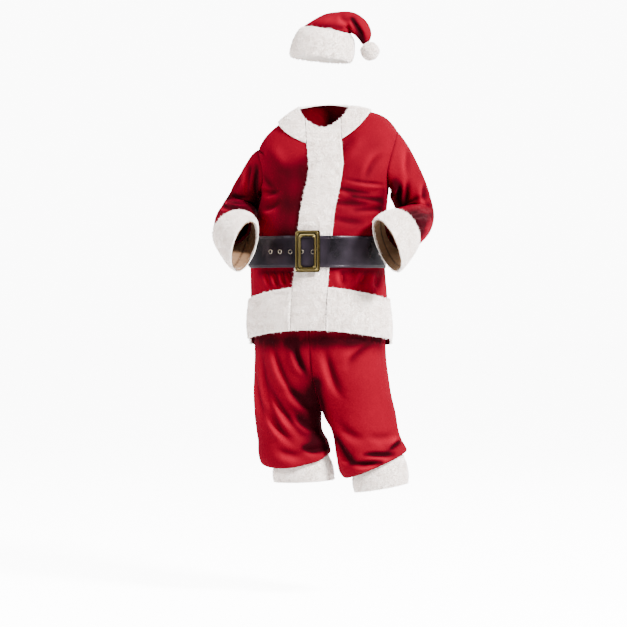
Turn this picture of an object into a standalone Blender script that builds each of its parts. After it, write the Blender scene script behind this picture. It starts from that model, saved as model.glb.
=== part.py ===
"""A santa suit as it hangs on its wearer: jacket, belt, trousers and hat, hollow and with nobody inside.

Frame: +Z up, the wearer faces -Y, +X is the wearer's left. The origin is the middle of the neck opening at
the height of the shoulder line. Every cloth piece is a thin wall on a grid of points. A grid's rows run down
the body or along the limb, and its columns run round it. Pieces sewn on top take their points from the grid
below, moved out along its normals, so that neighbours stay one seam gap apart everywhere.
"""
import math

import bmesh
import bpy
import numpy as np
from mathutils import Vector

# ---- driving dimensions, in metres -------------------------------------------------------------------
VELOUR = 0.0020            # wall of the red velour
LINING = 0.0010            # satin inside the sleeve cuffs
PLUSH = 0.0130             # plush strip with its pile
CUFF_PLUSH = 0.0120        # plush round the wrists and ankles
SEAM = 0.0003              # gap left between two pieces
TRIM_HALF = 0.0530         # half the width of the strip down the front
TRIM_UNDER_BELT = 0.0060   # the same strip, pressed flat by the belt
ARMHOLE_SWEEP = 25.0       # degrees cut out of the body either side of the arm
ARMHOLE_STEPS = 10         # grid steps from the shoulder point down to the underarm
BACK_DROP = 0.0160         # how much lower the hem is behind the side seams
STRAP = 0.0030             # coated cloth of the belt
BUCKLE_WIDE = 0.0770
BUCKLE_HIGH = 0.1280
BUCKLE_BAR = 0.0170
BUCKLE_FOOT_BAR = 0.0140
BUCKLE_DEEP = 0.0070
BUCKLE_CORNER = 0.0060
BUCKLE_FOOT_Z = -0.5145
BUCKLE_SHIFT = -0.0160     # from the middle of the front, along the strap, to the wearer's right
BUCKLE_PROFILE = (         # place across the bar from its outer edge, height of the two ridges
    (0.0, 0.0), (0.0, 0.65), (0.30, 1.0), (0.50, 0.75), (0.70, 1.0), (1.0, 0.65), (1.0, 0.0))
FREE_END = 9               # grid columns by which the strap's free end passes the middle of the front
FREE_END_FLARE = 0.0060    # how far its tip springs off the strap below
FREE_END_TIP = (0.50, 0.92)   # height of the rounded tip at its last two columns
FREE_END_LIES = (4.0, 3.0)    # column where it leaves the strap below, and columns over which it does so
EYELETS = 5
EYELET_STEP = 0.0360
EYELET_RADIUS = 0.0070
EYELET_HOLE = 0.0038
EYELET_DEEP = 0.0012
EYELET_SIDES = 12
POMPOM_RADIUS = 0.0305
POMPOM_CORE = 0.0262       # radius at the roots of its locks
POMPOM_SEAT = 0.80         # cosine of the angle round the crown's tip where the pompom has no locks

# ---- the body of the jacket: one row for each level, from the neck down to the hem --------------------
# z_side is the mean of both sides, and tilt is added on the wearer's left and taken off on the right.
# front_x is where the front edges meet; the section's own middle is centre_x.
BODY_COLUMNS = ("z_side", "tilt", "z_front", "z_back", "half_width", "front", "back", "centre_x", "front_x")
BODY_ROWS = (
    # z_side   tilt  z_front z_back  half_w  front   back  centre_x front_x
    (0.000, 0.000, -0.070, 0.014, 0.078, 0.078, 0.064, 0.000, 0.004),      # neck
    (-0.024, 0.013, -0.112, -0.012, 0.128, 0.106, 0.086, 0.000, 0.012),    # collar
    (-0.050, 0.028, -0.150, -0.050, 0.186, 0.132, 0.108, 0.002, 0.019),    # shoulder
    (-0.100, 0.026, -0.186, -0.098, 0.219, 0.150, 0.122, 0.010, 0.024),    # shoulder point
    (-0.150, 0.020, -0.224, -0.148, 0.219, 0.164, 0.130, 0.011, 0.022),    # chest
    (-0.205, 0.014, -0.262, -0.204, 0.208, 0.177, 0.132, 0.007, 0.016),
    (-0.262, 0.010, -0.303, -0.262, 0.199, 0.190, 0.132, 0.002, 0.008),    # underarm
    (-0.334, 0.004, -0.350, -0.334, 0.203, 0.208, 0.130, -0.010, 0.002),
    (-0.404, 0.000, -0.404, -0.404, 0.211, 0.216, 0.128, -0.022, -0.001),  # top of the belt
    (-0.500, 0.000, -0.500, -0.500, 0.211, 0.214, 0.128, -0.022, -0.011),  # foot of the belt
    (-0.598, 0.003, -0.556, -0.612, 0.214, 0.217, 0.142, -0.018, -0.017),  # top of the hem strip
    (-0.664, 0.001, -0.624, -0.680, 0.216, 0.216, 0.150, -0.016, -0.022),
    (-0.722, 0.001, -0.690, -0.738, 0.219, 0.211, 0.156, -0.015, -0.024),  # hem
)
NECK, COLLAR_EDGE, SHOULDER_POINT, UNDERARM = 0.0, 1.3, 3.0, 6.0
BELT_TOP, BELT_FOOT, HEM_TOP, HEM = 8.0, 9.0, 10.0, 12.0
BODY_FULLNESS = 0.05       # how far a section swells past an ellipse between its front, sides and back
COLLAR_GAP = 0.0012        # between each end of the collar and the front strip
STRIP_RIM = 0.55           # depth left at the rounded edge of a plush strip
STRIP_NIP = 0.35           # body rows above and below the belt over which the front strip swells out again
TRIM_COLUMNS = 3           # grid columns from the middle of the front to the edge of the front strip
FRONT_COLUMNS = 11
BACK_COLUMNS = 17

# ---- the largest folds --------------------------------------------------------------------------------
# A fold is a soft ridge or trough that runs from (x0, z0) to (x1, z1) as seen from the front or the back.
FOLD_END = 0.45            # share of a fold's height at its ends
FOLD_FACING = 2.0          # how soon a fold fades where the cloth turns away from the side that it is on
BODY_FOLDS = (
    # face     x0      z0     x1      z1     height  width
    ("front", 0.190, -0.262, 0.080, -0.276, -0.0060, 0.012),
    ("front", 0.188, -0.305, 0.100, -0.312, -0.0055, 0.011),
    ("front", 0.185, -0.338, 0.120, -0.352, -0.0050, 0.011),
    ("front", 0.196, -0.150, 0.150, -0.215, -0.0060, 0.014),
    ("front", -0.190, -0.190, -0.120, -0.265, -0.0065, 0.014),
    ("front", -0.196, -0.240, -0.130, -0.330, -0.0060, 0.013),
    ("front", -0.150, -0.508, -0.125, -0.560, -0.0050, 0.009),
    ("front", -0.115, -0.508, -0.098, -0.548, -0.0045, 0.008),
    ("front", 0.140, -0.508, 0.120, -0.555, -0.0045, 0.010),
    ("back", 0.120, -0.180, 0.030, -0.330, -0.0070, 0.018),
    ("back", -0.120, -0.200, -0.030, -0.340, -0.0070, 0.018),
    ("back", 0.100, -0.505, 0.090, -0.600, -0.0060, 0.014),
    ("back", 0.000, -0.505, 0.005, -0.610, -0.0060, 0.014),
    ("back", -0.100, -0.505, -0.105, -0.600, -0.0060, 0.014),
)

# ---- the sleeves: one row for each ring, from the armhole to the cuff seam ----------------------------
LEFT_ARM = (
    # x      y       z      aim_x  aim_y  aim_z radius
    (0.222, 0.000, -0.165, 0.90, 0.10, -0.40, 0.085),
    (0.244, 0.022, -0.222, 0.45, 0.28, -0.85, 0.066),
    (0.266, 0.050, -0.280, 0.25, 0.28, -0.92, 0.060),
    (0.277, 0.062, -0.330, 0.15, -0.45, -0.88, 0.060),    # elbow
    (0.276, 0.005, -0.360, 0.02, -0.95, -0.30, 0.062),
    (0.268, -0.072, -0.372, -0.20, -0.95, -0.22, 0.065),
    (0.256, -0.146, -0.388, -0.56, -0.74, -0.36, 0.070),  # cuff seam
)
RIGHT_ARM = (
    (-0.208, 0.000, -0.195, -0.90, 0.12, -0.40, 0.078),
    (-0.224, 0.022, -0.230, -0.55, 0.28, -0.80, 0.062),
    (-0.252, 0.048, -0.274, -0.40, 0.15, -0.90, 0.058),
    (-0.275, 0.046, -0.314, -0.20, -0.50, -0.84, 0.060),
    (-0.274, -0.018, -0.342, 0.04, -0.92, -0.40, 0.061),
    (-0.268, -0.094, -0.357, 0.14, -0.92, -0.38, 0.064),
    (-0.261, -0.178, -0.380, 0.50, -0.66, -0.55, 0.066),
)
LEFT_MOUTH = (0.218, -0.222, -0.434, -0.82, -0.42, -0.37, 0.085)
RIGHT_MOUTH = (-0.208, -0.272, -0.436, 0.93, -0.26, -0.27, 0.079)
CUFF_SHAPE = ((0.0, 0.45), (0.12, 0.9), (0.5, 1.0), (0.88, 0.9), (1.0, 0.4))   # place along it, plush
SLEEVE_RINGS = 16
ARM_BLEND = 0.28           # share of the sleeve over which the armhole's outline turns round
SLEEVE_CLEARANCE = 0.0080  # between the hanging sleeve and the body beside it
SLEEVE_CALM = (0.12, 0.06)    # shares of the sleeve free of folds at the armhole and at the cuff seam
SLEEVE_FOLDS = (
    ("front", 0.300, -0.325, 0.235, -0.345, -0.0070, 0.012),
    ("front", 0.262, -0.200, 0.228, -0.300, -0.0060, 0.012),
    ("front", 0.285, -0.225, 0.262, -0.300, -0.0050, 0.012),
    ("front", -0.235, -0.175, -0.232, -0.255, -0.0060, 0.011),
    ("front", -0.252, -0.275, -0.310, -0.262, -0.0060, 0.012),
    ("front", -0.240, -0.300, -0.300, -0.318, -0.0060, 0.011),
    ("back", 0.245, -0.240, 0.300, -0.262, -0.0060, 0.013),
    ("back", 0.240, -0.290, 0.318, -0.300, -0.0060, 0.013),
    ("back", -0.235, -0.235, -0.300, -0.250, -0.0060, 0.013),
    ("back", -0.240, -0.275, -0.315, -0.285, -0.0060, 0.013),
)

# ---- the trouser legs below the jacket: one row for each level ----------------------------------------
# split runs from 0, where both legs share one ring round the hips, to 1, where each leg is a closed ring.
CROTCH_X = -0.0095         # the crotch lies on this line, and so do both inner edges down to it
LEFT_LEG = (
    # split  z       tilt   sag    outer_x inner_x centre_y half_depth
    (0.10, -0.775, 0.000, 0.000, 0.219, CROTCH_X, 0.000, 0.125),
    (0.30, -0.840, 0.000, 0.000, 0.223, CROTCH_X, 0.000, 0.120),
    (0.62, -0.900, 0.000, 0.000, 0.223, CROTCH_X, 0.000, 0.115),
    (1.00, -0.955, 0.000, 0.000, 0.225, CROTCH_X, 0.000, 0.110),   # crotch
    (1.00, -1.000, 0.000, 0.000, 0.230, 0.020, 0.000, 0.108),
    (1.00, -1.040, 0.010, 0.000, 0.234, 0.031, -0.003, 0.108),
    (1.00, -1.078, 0.026, 0.004, 0.249, 0.045, -0.006, 0.111),
    (1.00, -1.110, 0.044, 0.008, 0.263, 0.058, -0.008, 0.112),     # lowest part of the blousing
    (1.00, -1.112, 0.038, 0.005, 0.259, 0.073, -0.008, 0.104),     # turned under
    (1.00, -1.095, 0.014, 0.000, 0.250, 0.094, -0.008, 0.085),     # seam on top of the cuff
)
RIGHT_LEG = (
    (0.10, -0.775, 0.000, 0.000, -0.226, CROTCH_X, 0.000, 0.125),
    (0.30, -0.840, 0.000, 0.000, -0.227, CROTCH_X, 0.000, 0.120),
    (0.62, -0.900, 0.000, 0.000, -0.226, CROTCH_X, 0.000, 0.115),
    (1.00, -0.955, 0.000, 0.000, -0.224, CROTCH_X, 0.000, 0.110),
    (1.00, -0.988, 0.000, 0.000, -0.221, -0.0115, 0.004, 0.108),
    (1.00, -1.020, -0.004, 0.000, -0.217, -0.006, 0.007, 0.108),
    (1.00, -1.054, -0.010, 0.012, -0.210, 0.006, 0.010, 0.111),
    (1.00, -1.085, -0.018, 0.024, -0.200, 0.016, 0.012, 0.112),
    (1.00, -1.089, -0.014, 0.018, -0.182, 0.016, 0.012, 0.104),
    (1.00, -1.079, -0.003, 0.004, -0.156, 0.008, 0.012, 0.086),
)
LEG_INNER_X = 5            # column of inner_x in both tables
LEG_RINGS = 17
CROTCH_ROW = 3             # its row in both tables
LOWEST_ROW = 7             # row of the lowest part of the blousing
LEG_CALM = 1.2             # rows over which the folds fade out towards it
HIP_EASE = 0.0120          # how far the trousers stand clear inside the jacket at its hem
WAISTBAND_FOOT = 8.5       # body row where the waistband ends and the trouser panels begin
LEG_FOLDS = (
    ("front", -0.205, -0.770, -0.060, -0.930, -0.0080, 0.014),
    ("front", -0.210, -0.850, -0.070, -0.985, -0.0080, 0.014),
    ("front", -0.205, -0.930, -0.085, -1.030, -0.0070, 0.013),
    ("front", -0.180, -1.000, -0.110, -1.080, -0.0060, 0.012),
    ("front", -0.050, -1.070, -0.040, -0.990, -0.0060, 0.011),
    ("front", 0.006, -0.794, 0.066, -0.907, -0.0060, 0.014),
    ("front", 0.034, -1.035, 0.110, -1.110, -0.0070, 0.012),
    ("front", 0.131, -1.085, 0.219, -1.057, -0.0070, 0.012),
    ("front", 0.200, -0.980, 0.160, -1.060, -0.0060, 0.013),
    ("back", 0.190, -0.800, 0.050, -0.930, -0.0080, 0.016),
    ("back", -0.200, -0.800, -0.060, -0.930, -0.0080, 0.016),
    ("back", 0.190, -0.990, 0.080, -1.040, -0.0070, 0.014),
    ("back", -0.180, -0.980, -0.060, -1.030, -0.0070, 0.014),
    ("back", 0.220, -1.050, 0.100, -1.085, -0.0070, 0.013),
    ("back", -0.170, -1.035, -0.040, -1.060, -0.0070, 0.013),
)

# ---- ankle cuffs: the bottom ring; the top ring lies under the seam of the leg ------------------------
LEFT_ANKLE = (1.00, -1.184, 0.014, 0.000, 0.259, 0.098, -0.010, 0.087)
RIGHT_ANKLE = (1.00, -1.167, -0.004, 0.000, -0.160, 0.024, 0.012, 0.090)
ANKLE_INSET = 0.0009       # how far the cuff's inside lies within the end of the leg
ANKLE_SHAPE = ((0.0, 0.06), (0.12, 0.25), (0.36, 0.90), (0.8, 1.0), (1.0, 0.45))   # place down it, plush

# ---- the hat ------------------------------------------------------------------------------------------
# Each ring has a middle, an aim along the hat towards its tip, and half its width and its depth.
HAT_Y = -0.016
HAT_BAND = (
    # x       z      aim_x aim_z half_width half_depth
    (-0.0120, 0.148, 0.09, 1.0, 0.0905, 0.1060),
    (-0.0060, 0.178, 0.10, 1.0, 0.0890, 0.1045),
    (0.0010, 0.208, 0.16, 1.0, 0.0840, 0.0990),
    (0.0080, 0.238, 0.17, 1.0, 0.0730, 0.0880),
)
HAT_CROWN = (
    (0.0085, 0.2430, 0.17, 1.00, 0.0770, 0.0920),
    (0.0380, 0.2615, 0.49, 0.87, 0.0517, 0.0760),
    (0.0580, 0.2660, 0.85, 0.52, 0.0360, 0.0580),
    (0.0840, 0.2650, 0.96, -0.25, 0.0320, 0.0440),
    (0.1130, 0.2460, 0.66, -0.75, 0.0290, 0.0360),
    (0.1270, 0.2220, 0.22, -0.97, 0.0230, 0.0290),
    (0.1310, 0.1980, 0.45, -0.89, 0.0120, 0.0150),
)
BAND_PLUSH = 0.0150
BAND_SHAPE = ((0.0, 0.45), (0.3, 0.9), (1.5, 1.0), (2.7, 0.95), (3.0, 0.45))   # row of the band, plush
CROWN_RINGS = 13
HAT_SIDES = 18

# ---- colours ------------------------------------------------------------------------------------------
RED = (0.55, 0.010, 0.030)
WHITE = (0.86, 0.84, 0.80)
TAN = (0.42, 0.28, 0.16)
BLACK = (0.012, 0.010, 0.014)
BRASS = (0.52, 0.37, 0.13)
GREY_METAL = (0.62, 0.58, 0.50)


# ---- helpers for rows, sections and walls -------------------------------------------------------------
def through(rows, at):
    """Smooth curve through table rows, read at the given row positions."""
    rows = np.array(rows, dtype=float)
    slopes = np.gradient(rows, axis=0)
    at = np.clip(np.asarray(at, dtype=float), 0, len(rows) - 1)
    low = np.minimum(at.astype(int), len(rows) - 2)
    f = (at - low)[..., None]
    a, b, da, db = rows[low], rows[low + 1], slopes[low], slopes[low + 1]
    return ((2 * f**3 - 3 * f**2 + 1) * a + (f**3 - 2 * f**2 + f) * da
            + (3 * f**2 - 2 * f**3) * b + (f**3 - f**2) * db)


def unit(vectors):
    return vectors / np.maximum(np.linalg.norm(vectors, axis=-1, keepdims=True), 1e-12)


def ease(value):
    value = np.clip(value, 0.0, 1.0)
    return value * value * (3 - 2 * value)


def folded(points, normals, folds):
    """Points moved along their normals by every fold that crosses them on the side it is on."""
    moved = np.zeros(points.shape[:-1])
    for face, x0, z0, x1, z1, height, width in folds:
        facing = np.clip(normals[..., 1] * (-1 if face == "front" else 1) * FOLD_FACING, 0, 1)
        run = np.array((x1 - x0, z1 - z0))
        offset = np.stack((points[..., 0] - x0, points[..., 2] - z0), axis=-1)
        along = np.clip(offset @ run / (run @ run), 0, 1)
        away = np.linalg.norm(offset - along[..., None] * run, axis=-1)
        fade = FOLD_END + (1 - FOLD_END) * np.sin(math.pi * along)
        moved += height * fade * np.exp(-((away / width) ** 2)) * facing
    return points + normals * moved[..., None]


def inset(grid, columns, rows, gap=SEAM / 2):
    """Grid with its outer edges drawn in by half a seam: columns and rows name the edges (first, last)."""
    grid = grid.copy()
    for wanted, axis in ((columns, 1), (rows, 0)):
        lines = np.moveaxis(grid, axis, 0)
        for edge, use in ((0, wanted[0]), (-1, wanted[1])):
            if use:
                inner = lines[1 if edge == 0 else -2]
                lines[edge] += unit(inner - lines[edge]) * gap
    return grid


def solid(name, outer, inner, material, wrap=False):
    """Closed wall between two grids of the same shape. A wrapped wall closes round its columns."""
    rows, columns = outer.shape[:2]
    count = rows * columns
    points = np.concatenate((outer.reshape(-1, 3), inner.reshape(-1, 3)))

    def at(row, column):
        return row * columns + column % columns

    faces = []
    for r in range(rows - 1):
        for c in range(columns if wrap else columns - 1):
            a, b, e, d = at(r, c), at(r, c + 1), at(r + 1, c + 1), at(r + 1, c)
            faces += [(a, b, e), (a, e, d)]
            faces += [(e + count, b + count, a + count), (d + count, e + count, a + count)]
    rim = []
    for c in range(columns if wrap else columns - 1):
        rim.append((at(0, c + 1), at(0, c)))
        rim.append((at(rows - 1, c), at(rows - 1, c + 1)))
    if not wrap:
        for r in range(rows - 1):
            rim.append((at(r, 0), at(r + 1, 0)))
            rim.append((at(r + 1, columns - 1), at(r, columns - 1)))
    for a, b in rim:
        faces += [(a, b, b + count), (a, b + count, a + count)]
    return finished(name, points, faces, material)


def finished(name, points, faces, material):
    """Object from points and faces, turned so that its faces point out."""
    mesh = bpy.data.meshes.new(name)
    mesh.from_pydata([tuple(p) for p in points], [], faces)
    work = bmesh.new()
    work.from_mesh(mesh)
    if work.calc_volume(signed=True) < 0:
        bmesh.ops.reverse_faces(work, faces=work.faces)
    work.to_mesh(mesh)
    work.free()
    mesh.materials.append(material)
    thing = bpy.data.objects.new(name, mesh)
    bpy.context.scene.collection.objects.link(thing)
    return thing


def material_for(name, colour, roughness, metallic):
    material = bpy.data.materials.new(name)
    material.use_nodes = True
    shader = material.node_tree.nodes["Principled BSDF"]
    shader.inputs["Base Color"].default_value = (*colour, 1.0)
    shader.inputs["Roughness"].default_value = roughness
    shader.inputs["Metallic"].default_value = metallic
    return material


# ---- the jacket's body --------------------------------------------------------------------------------
def body_point(angle, row):
    """A point of the body at an angle from the front, plus on the wearer's left, and at a row position."""
    at_row = np.moveaxis(through(BODY_ROWS, row), -1, 0)
    z_side, tilt, z_front, z_back, half, front, back, centre_x, front_x = at_row
    s, c = np.sin(angle), np.cos(angle)
    full = 1 + BODY_FULLNESS * np.sin(2 * angle) ** 2
    facing = np.clip(c, 0, 1)
    x = centre_x + half * s * full + (front_x - centre_x) * facing**2
    y = -np.where(c > 0, front, back) * c * full
    z = np.where(c > 0, z_front, z_back) * c**2 + z_side * s**2 + tilt * s
    return np.stack((x, y, z), axis=-1)


def body_normal(angle, row):
    step_angle, step_row = 0.02, 0.05
    above, below = np.maximum(row - step_row, NECK), np.minimum(row + step_row, HEM)
    across = body_point(angle + step_angle, row) - body_point(angle - step_angle, row)
    down = body_point(angle, below) - body_point(angle, above)
    return unit(np.cross(down, across))


def body_row_positions():
    """Row positions of the body's grid. They lie closer at both ends of the armhole."""
    above = [0.0, 0.65, 1.3, 2.15]
    turn = np.linspace(0, math.pi, ARMHOLE_STEPS + 1)
    armhole = list(SHOULDER_POINT + (UNDERARM - SHOULDER_POINT) * (1 - np.cos(turn)) / 2)
    below = [6.5, 7.0, 7.5, BELT_TOP, 8.5, BELT_FOOT, 9.5, HEM_TOP, 10.7, 11.4, HEM]
    return np.array(above + armhole + below)


ROWS = body_row_positions()
FIRST_ARMHOLE_ROW = 4
LAST_ARMHOLE_ROW = FIRST_ARMHOLE_ROW + ARMHOLE_STEPS


def row_index(position):
    return int(np.argmin(np.abs(ROWS - position)))


def armhole_sweep():
    """Angle cut out of the body at each row, nothing above the shoulder point and below the underarm."""
    turn = np.clip((ROWS - SHOULDER_POINT) / (UNDERARM - SHOULDER_POINT), 0, 1)
    return math.radians(ARMHOLE_SWEEP) * np.sqrt(np.maximum(0.0, 4 * turn * (1 - turn)))


def panel_angles(piece):
    """Angle of every column of a panel at every row, rising round the body."""
    side = math.pi / 2
    cut = armhole_sweep()[:, None]
    if piece == "back":
        spread = np.linspace(-1, 1, BACK_COLUMNS)[None, :]
        return math.pi + spread * (side - cut)
    half = through(BODY_ROWS, ROWS)[:, BODY_COLUMNS.index("half_width")][:, None]
    trim = np.arcsin(TRIM_HALF / half)
    near = trim * np.linspace(0, 1, TRIM_COLUMNS)[None, :]
    far = trim + (side - cut - trim) * np.linspace(0, 1, FRONT_COLUMNS - TRIM_COLUMNS + 1)[None, 1:]
    angles = np.concatenate((near, far), axis=1)
    return angles if piece == "front_left" else -angles[:, ::-1]


def panel(piece):
    """Outer grid of one panel and its normals, with the folds pressed in."""
    angles = panel_angles(piece)
    rows = np.broadcast_to(ROWS[:, None], angles.shape)
    points, normals = body_point(angles, rows), body_normal(angles, rows)
    if piece == "back":
        drop = BACK_DROP * ease((ROWS - HEM_TOP) / (HEM - HEM_TOP))
        points[..., 2] -= drop[:, None]
    return folded(points, normals, BODY_FOLDS), normals


def jacket(panels, red):
    """Two fronts and a back, a seam gap apart down the front, along the shoulders and down the sides."""
    for piece, (points, normals) in panels.items():
        outer = inset(points, (True, True), (False, False))
        inner = inset(points - normals * VELOUR, (True, True), (False, False))
        solid("jacket_" + piece, outer, inner, red)


def round_strip(points, normals, depth, rim):
    """Outer face of a plush strip: full depth in the middle and thinner at its free edges.

    rim names the edges that are rounded off: (first row, last row, first column, last column).
    """
    share = np.ones(points.shape[:2])
    for line, use in zip((share[0], share[-1], share[:, 0], share[:, -1]), rim):
        if use:
            line[...] = STRIP_RIM
    return points + normals * (SEAM + share * depth)[..., None]


def front_strip(panels, white):
    """The plush strip down the front. It covers where the fronts meet, and the belt presses it flat."""
    right, left = panels["front_right"], panels["front_left"]
    points, normals = (np.concatenate((right[i][:, -TRIM_COLUMNS:], left[i][:, 1:TRIM_COLUMNS]), axis=1)
                       for i in (0, 1))
    free = ease(np.maximum(BELT_TOP - ROWS, ROWS - BELT_FOOT) / STRIP_NIP)
    depth = TRIM_UNDER_BELT + (PLUSH - TRIM_UNDER_BELT) * free
    points = inset(points, (True, True), (False, False))
    outer = round_strip(points, normals, depth[:, None], (True, True, True, True))
    solid("front_strip", outer, points + normals * SEAM, white)


def collar_and_hem(panels, white):
    """Collar round the neck and the deep strip round the hem, in pieces that meet the front strip."""
    collar_end = row_index(COLLAR_EDGE) + 1
    hem_start = row_index(HEM_TOP)
    beside = {"left": slice(TRIM_COLUMNS - 1, None), "right": slice(None, FRONT_COLUMNS - TRIM_COLUMNS + 1)}
    strips = {"back": panels["back"]}
    for side, columns in beside.items():
        strips[side] = [grid[:, columns] for grid in panels["front_" + side]]
    for side, (points, normals) in strips.items():
        hem_points = inset(points[hem_start:], (True, True), (False, False))
        outer = round_strip(hem_points, normals[hem_start:], PLUSH, (True, True, False, False))
        solid("hem_strip_" + side, outer, hem_points + normals[hem_start:] * SEAM, white)
    points, normals = (np.concatenate((left, back[:, 1:-1], right), axis=1)
                       for left, back, right in zip(strips["left"], strips["back"], strips["right"]))
    collar_points = inset(points[:collar_end], (True, True), (False, False), COLLAR_GAP)
    outer = round_strip(collar_points, normals[:collar_end], PLUSH, (True, True, True, True))
    solid("collar", outer, collar_points + normals[:collar_end] * SEAM, white)


# ---- sleeves and wrist cuffs --------------------------------------------------------------------------
def armhole(panels, side):
    """Outline of the armhole, down the front and up the back, and its inward directions."""
    front_edge, back_edge = (-1, 0) if side == "left" else (0, -1)
    rows = slice(FIRST_ARMHOLE_ROW, LAST_ARMHOLE_ROW + 1)
    outline = []
    for i in (0, 1):
        down = panels["front_" + side][i][rows, front_edge]
        up = panels["back"][i][rows, back_edge][-2:0:-1]
        outline.append(np.concatenate((down, up)))
    points, normals = outline
    middle = points.mean(axis=0)
    inward = middle - points
    inward = unit(inward - normals * np.sum(inward * normals, axis=1, keepdims=True))
    return points + (inward + normals) * SEAM, inward


def ring_frames(centres, aims, start_up):
    """Across and up directions of each ring, carried along the limb without twisting."""
    up = np.array(start_up, dtype=float)
    ups = []
    for aim in aims:
        up = unit(up - aim * (up @ aim))
        ups.append(up)
    return np.array(ups), np.cross(aims, np.array(ups))


def ring_spokes(turn, ups, across):
    """Unit directions out from every ring's middle, one for each column."""
    return np.cos(turn)[None, :, None] * ups[:, None, :] + np.sin(turn)[None, :, None] * across[:, None, :]


def grid_normals(grid):
    """Normals of a grid that closes round its columns, pointing away from each ring's middle."""
    across = np.roll(grid, -1, axis=1) - np.roll(grid, 1, axis=1)
    along = np.gradient(grid, axis=0)
    normals = unit(np.cross(across, along))
    outward = grid - grid.mean(axis=1, keepdims=True)
    return normals * np.sign(np.sum(normals * outward))


def clear_of_body(points, clearance):
    """Points pushed sideways until they lie outside the body by a clearance, one for each ring."""
    table = np.array(BODY_ROWS)
    row = np.interp(-points[..., 2], -table[1:, BODY_COLUMNS.index("z_side")], np.arange(1, len(table)))
    _, _, _, _, half, front, back, centre_x, _ = np.moveaxis(through(BODY_ROWS, row), -1, 0)
    x, y = points[..., 0] - centre_x, points[..., 1]
    depth = np.where(y < 0, front, back)
    inside = np.sqrt((x / half) ** 2 + (y / depth) ** 2)
    push = np.maximum(0.0, 1 + clearance[:, None] / half - inside)
    moved = points.copy()
    moved[..., 0] += push * half * np.sign(x)
    return moved


def sleeve(panels, side, table, red):
    """A sleeve from the armhole to its cuff seam. Returns the last ring's outer points and up direction."""
    sign = 1 if side == "left" else -1
    hole, inward = armhole(panels, side)
    place = np.linspace(0, 1, SLEEVE_RINGS)
    rows = through(table, place * (len(table) - 1))
    centres, aims, radii = rows[:, :3], unit(rows[:, 3:6]), rows[:, 6]
    ups, across = ring_frames(centres, aims, (0, 0, 1))
    turn = np.arange(len(hole)) * 2 * math.pi / len(hole)
    rings = centres[:, None, :] + radii[:, None, None] * ring_spokes(turn, ups, across * sign)
    carried = hole[None, :, :] - hole.mean(axis=0) + centres[:, None, :]
    carried[0] = hole
    mix = ease(place / ARM_BLEND)[:, None, None]
    outer = carried * (1 - mix) + rings * mix
    outer[1:] = clear_of_body(outer, SLEEVE_CLEARANCE * (0.5 + 0.5 * ease(place / ARM_BLEND)))[1:]
    normals = grid_normals(outer)
    normals[0] = unit(normals[0] - inward * np.maximum(0, np.sum(normals[0] * inward, axis=1))[:, None])
    normals[-1] = unit(normals[-1] - aims[-1] * (normals[-1] @ aims[-1])[:, None])
    calm = ease(np.minimum(place / SLEEVE_CALM[0], (1 - place) / SLEEVE_CALM[1]))[:, None, None]
    outer = outer + (folded(outer, normals, SLEEVE_FOLDS) - outer) * calm
    solid("sleeve_" + side, outer, outer - normals * VELOUR, red, wrap=True)
    return ups[-1], turn


def wrist(side, table, mouth, up, turn, white, tan):
    """Flared plush cuff and its satin lining, from the end of the sleeve to the mouth."""
    sign = 1 if side == "left" else -1
    start = np.array(table[-1])
    end = np.array(mouth)
    place, share = np.array(CUFF_SHAPE).T[:, :, None]
    rows = start + (end - start) * place
    rows[:, 6] = start[6] + (end[6] - start[6]) * ease(place[:, 0]) - VELOUR / 2
    aims = unit(rows[:, 3:6])
    centres = rows[:, :3] + aims * SEAM * (1 - place)
    ups, across = ring_frames(centres, aims, up)
    around = ring_spokes(turn, ups, across * sign)
    base = centres[:, None, :] + rows[:, 6][:, None, None] * around
    outer = base + around * CUFF_PLUSH * share[:, None]
    solid("sleeve_cuff_" + side, outer, base, white, wrap=True)
    lining = base - around * SEAM
    solid("cuff_lining_" + side, lining, lining - around * LINING, tan, wrap=True)


# ---- the belt -----------------------------------------------------------------------------------------
def waist_ring(panels, top, foot):
    """Columns right round the waist from the middle of the front, over the wearer's left, back and right."""
    rows = slice(row_index(top), row_index(foot) + 1)
    ring = []
    for i in (0, 1):
        left = panels["front_left"][i][rows]
        behind = panels["back"][i][rows, 1:-1]
        right = panels["front_right"][i][rows, :-1]
        ring.append(np.concatenate((left, behind, right), axis=1))
    return ring


def belt(panels, black):
    """One strap. Its free end lies over its own start on the wearer's right, and the buckle holds both."""
    points, normals = waist_ring(panels, BELT_TOP, BELT_FOOT)
    count = points.shape[1]
    step = np.arange(-FREE_END, count + 2)
    points, normals = points[:, step % count], normals[:, step % count].copy()
    reach = np.abs(np.minimum(step % count, count - step % count)).astype(float)
    over_strip = ease((TRIM_COLUMNS + 1 - reach) / 2)
    on_top = ease((FREE_END_LIES[0] - step) / FREE_END_LIES[1])
    flare = FREE_END_FLARE * ease((2 - FREE_END - step) / 2)
    lift = SEAM + over_strip * (TRIM_UNDER_BELT + SEAM) + on_top * (STRAP + 2 * SEAM) + flare
    middle = points[1]
    narrow = np.ones(len(step))
    narrow[:2] = FREE_END_TIP
    points = middle + (points - middle) * narrow[None, :, None]
    inner = points + normals * lift[None, :, None]
    outer = inner + normals * STRAP
    solid("belt_strap", outer, inner, black)
    return outer[1, :FREE_END + 4], FREE_END


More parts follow.
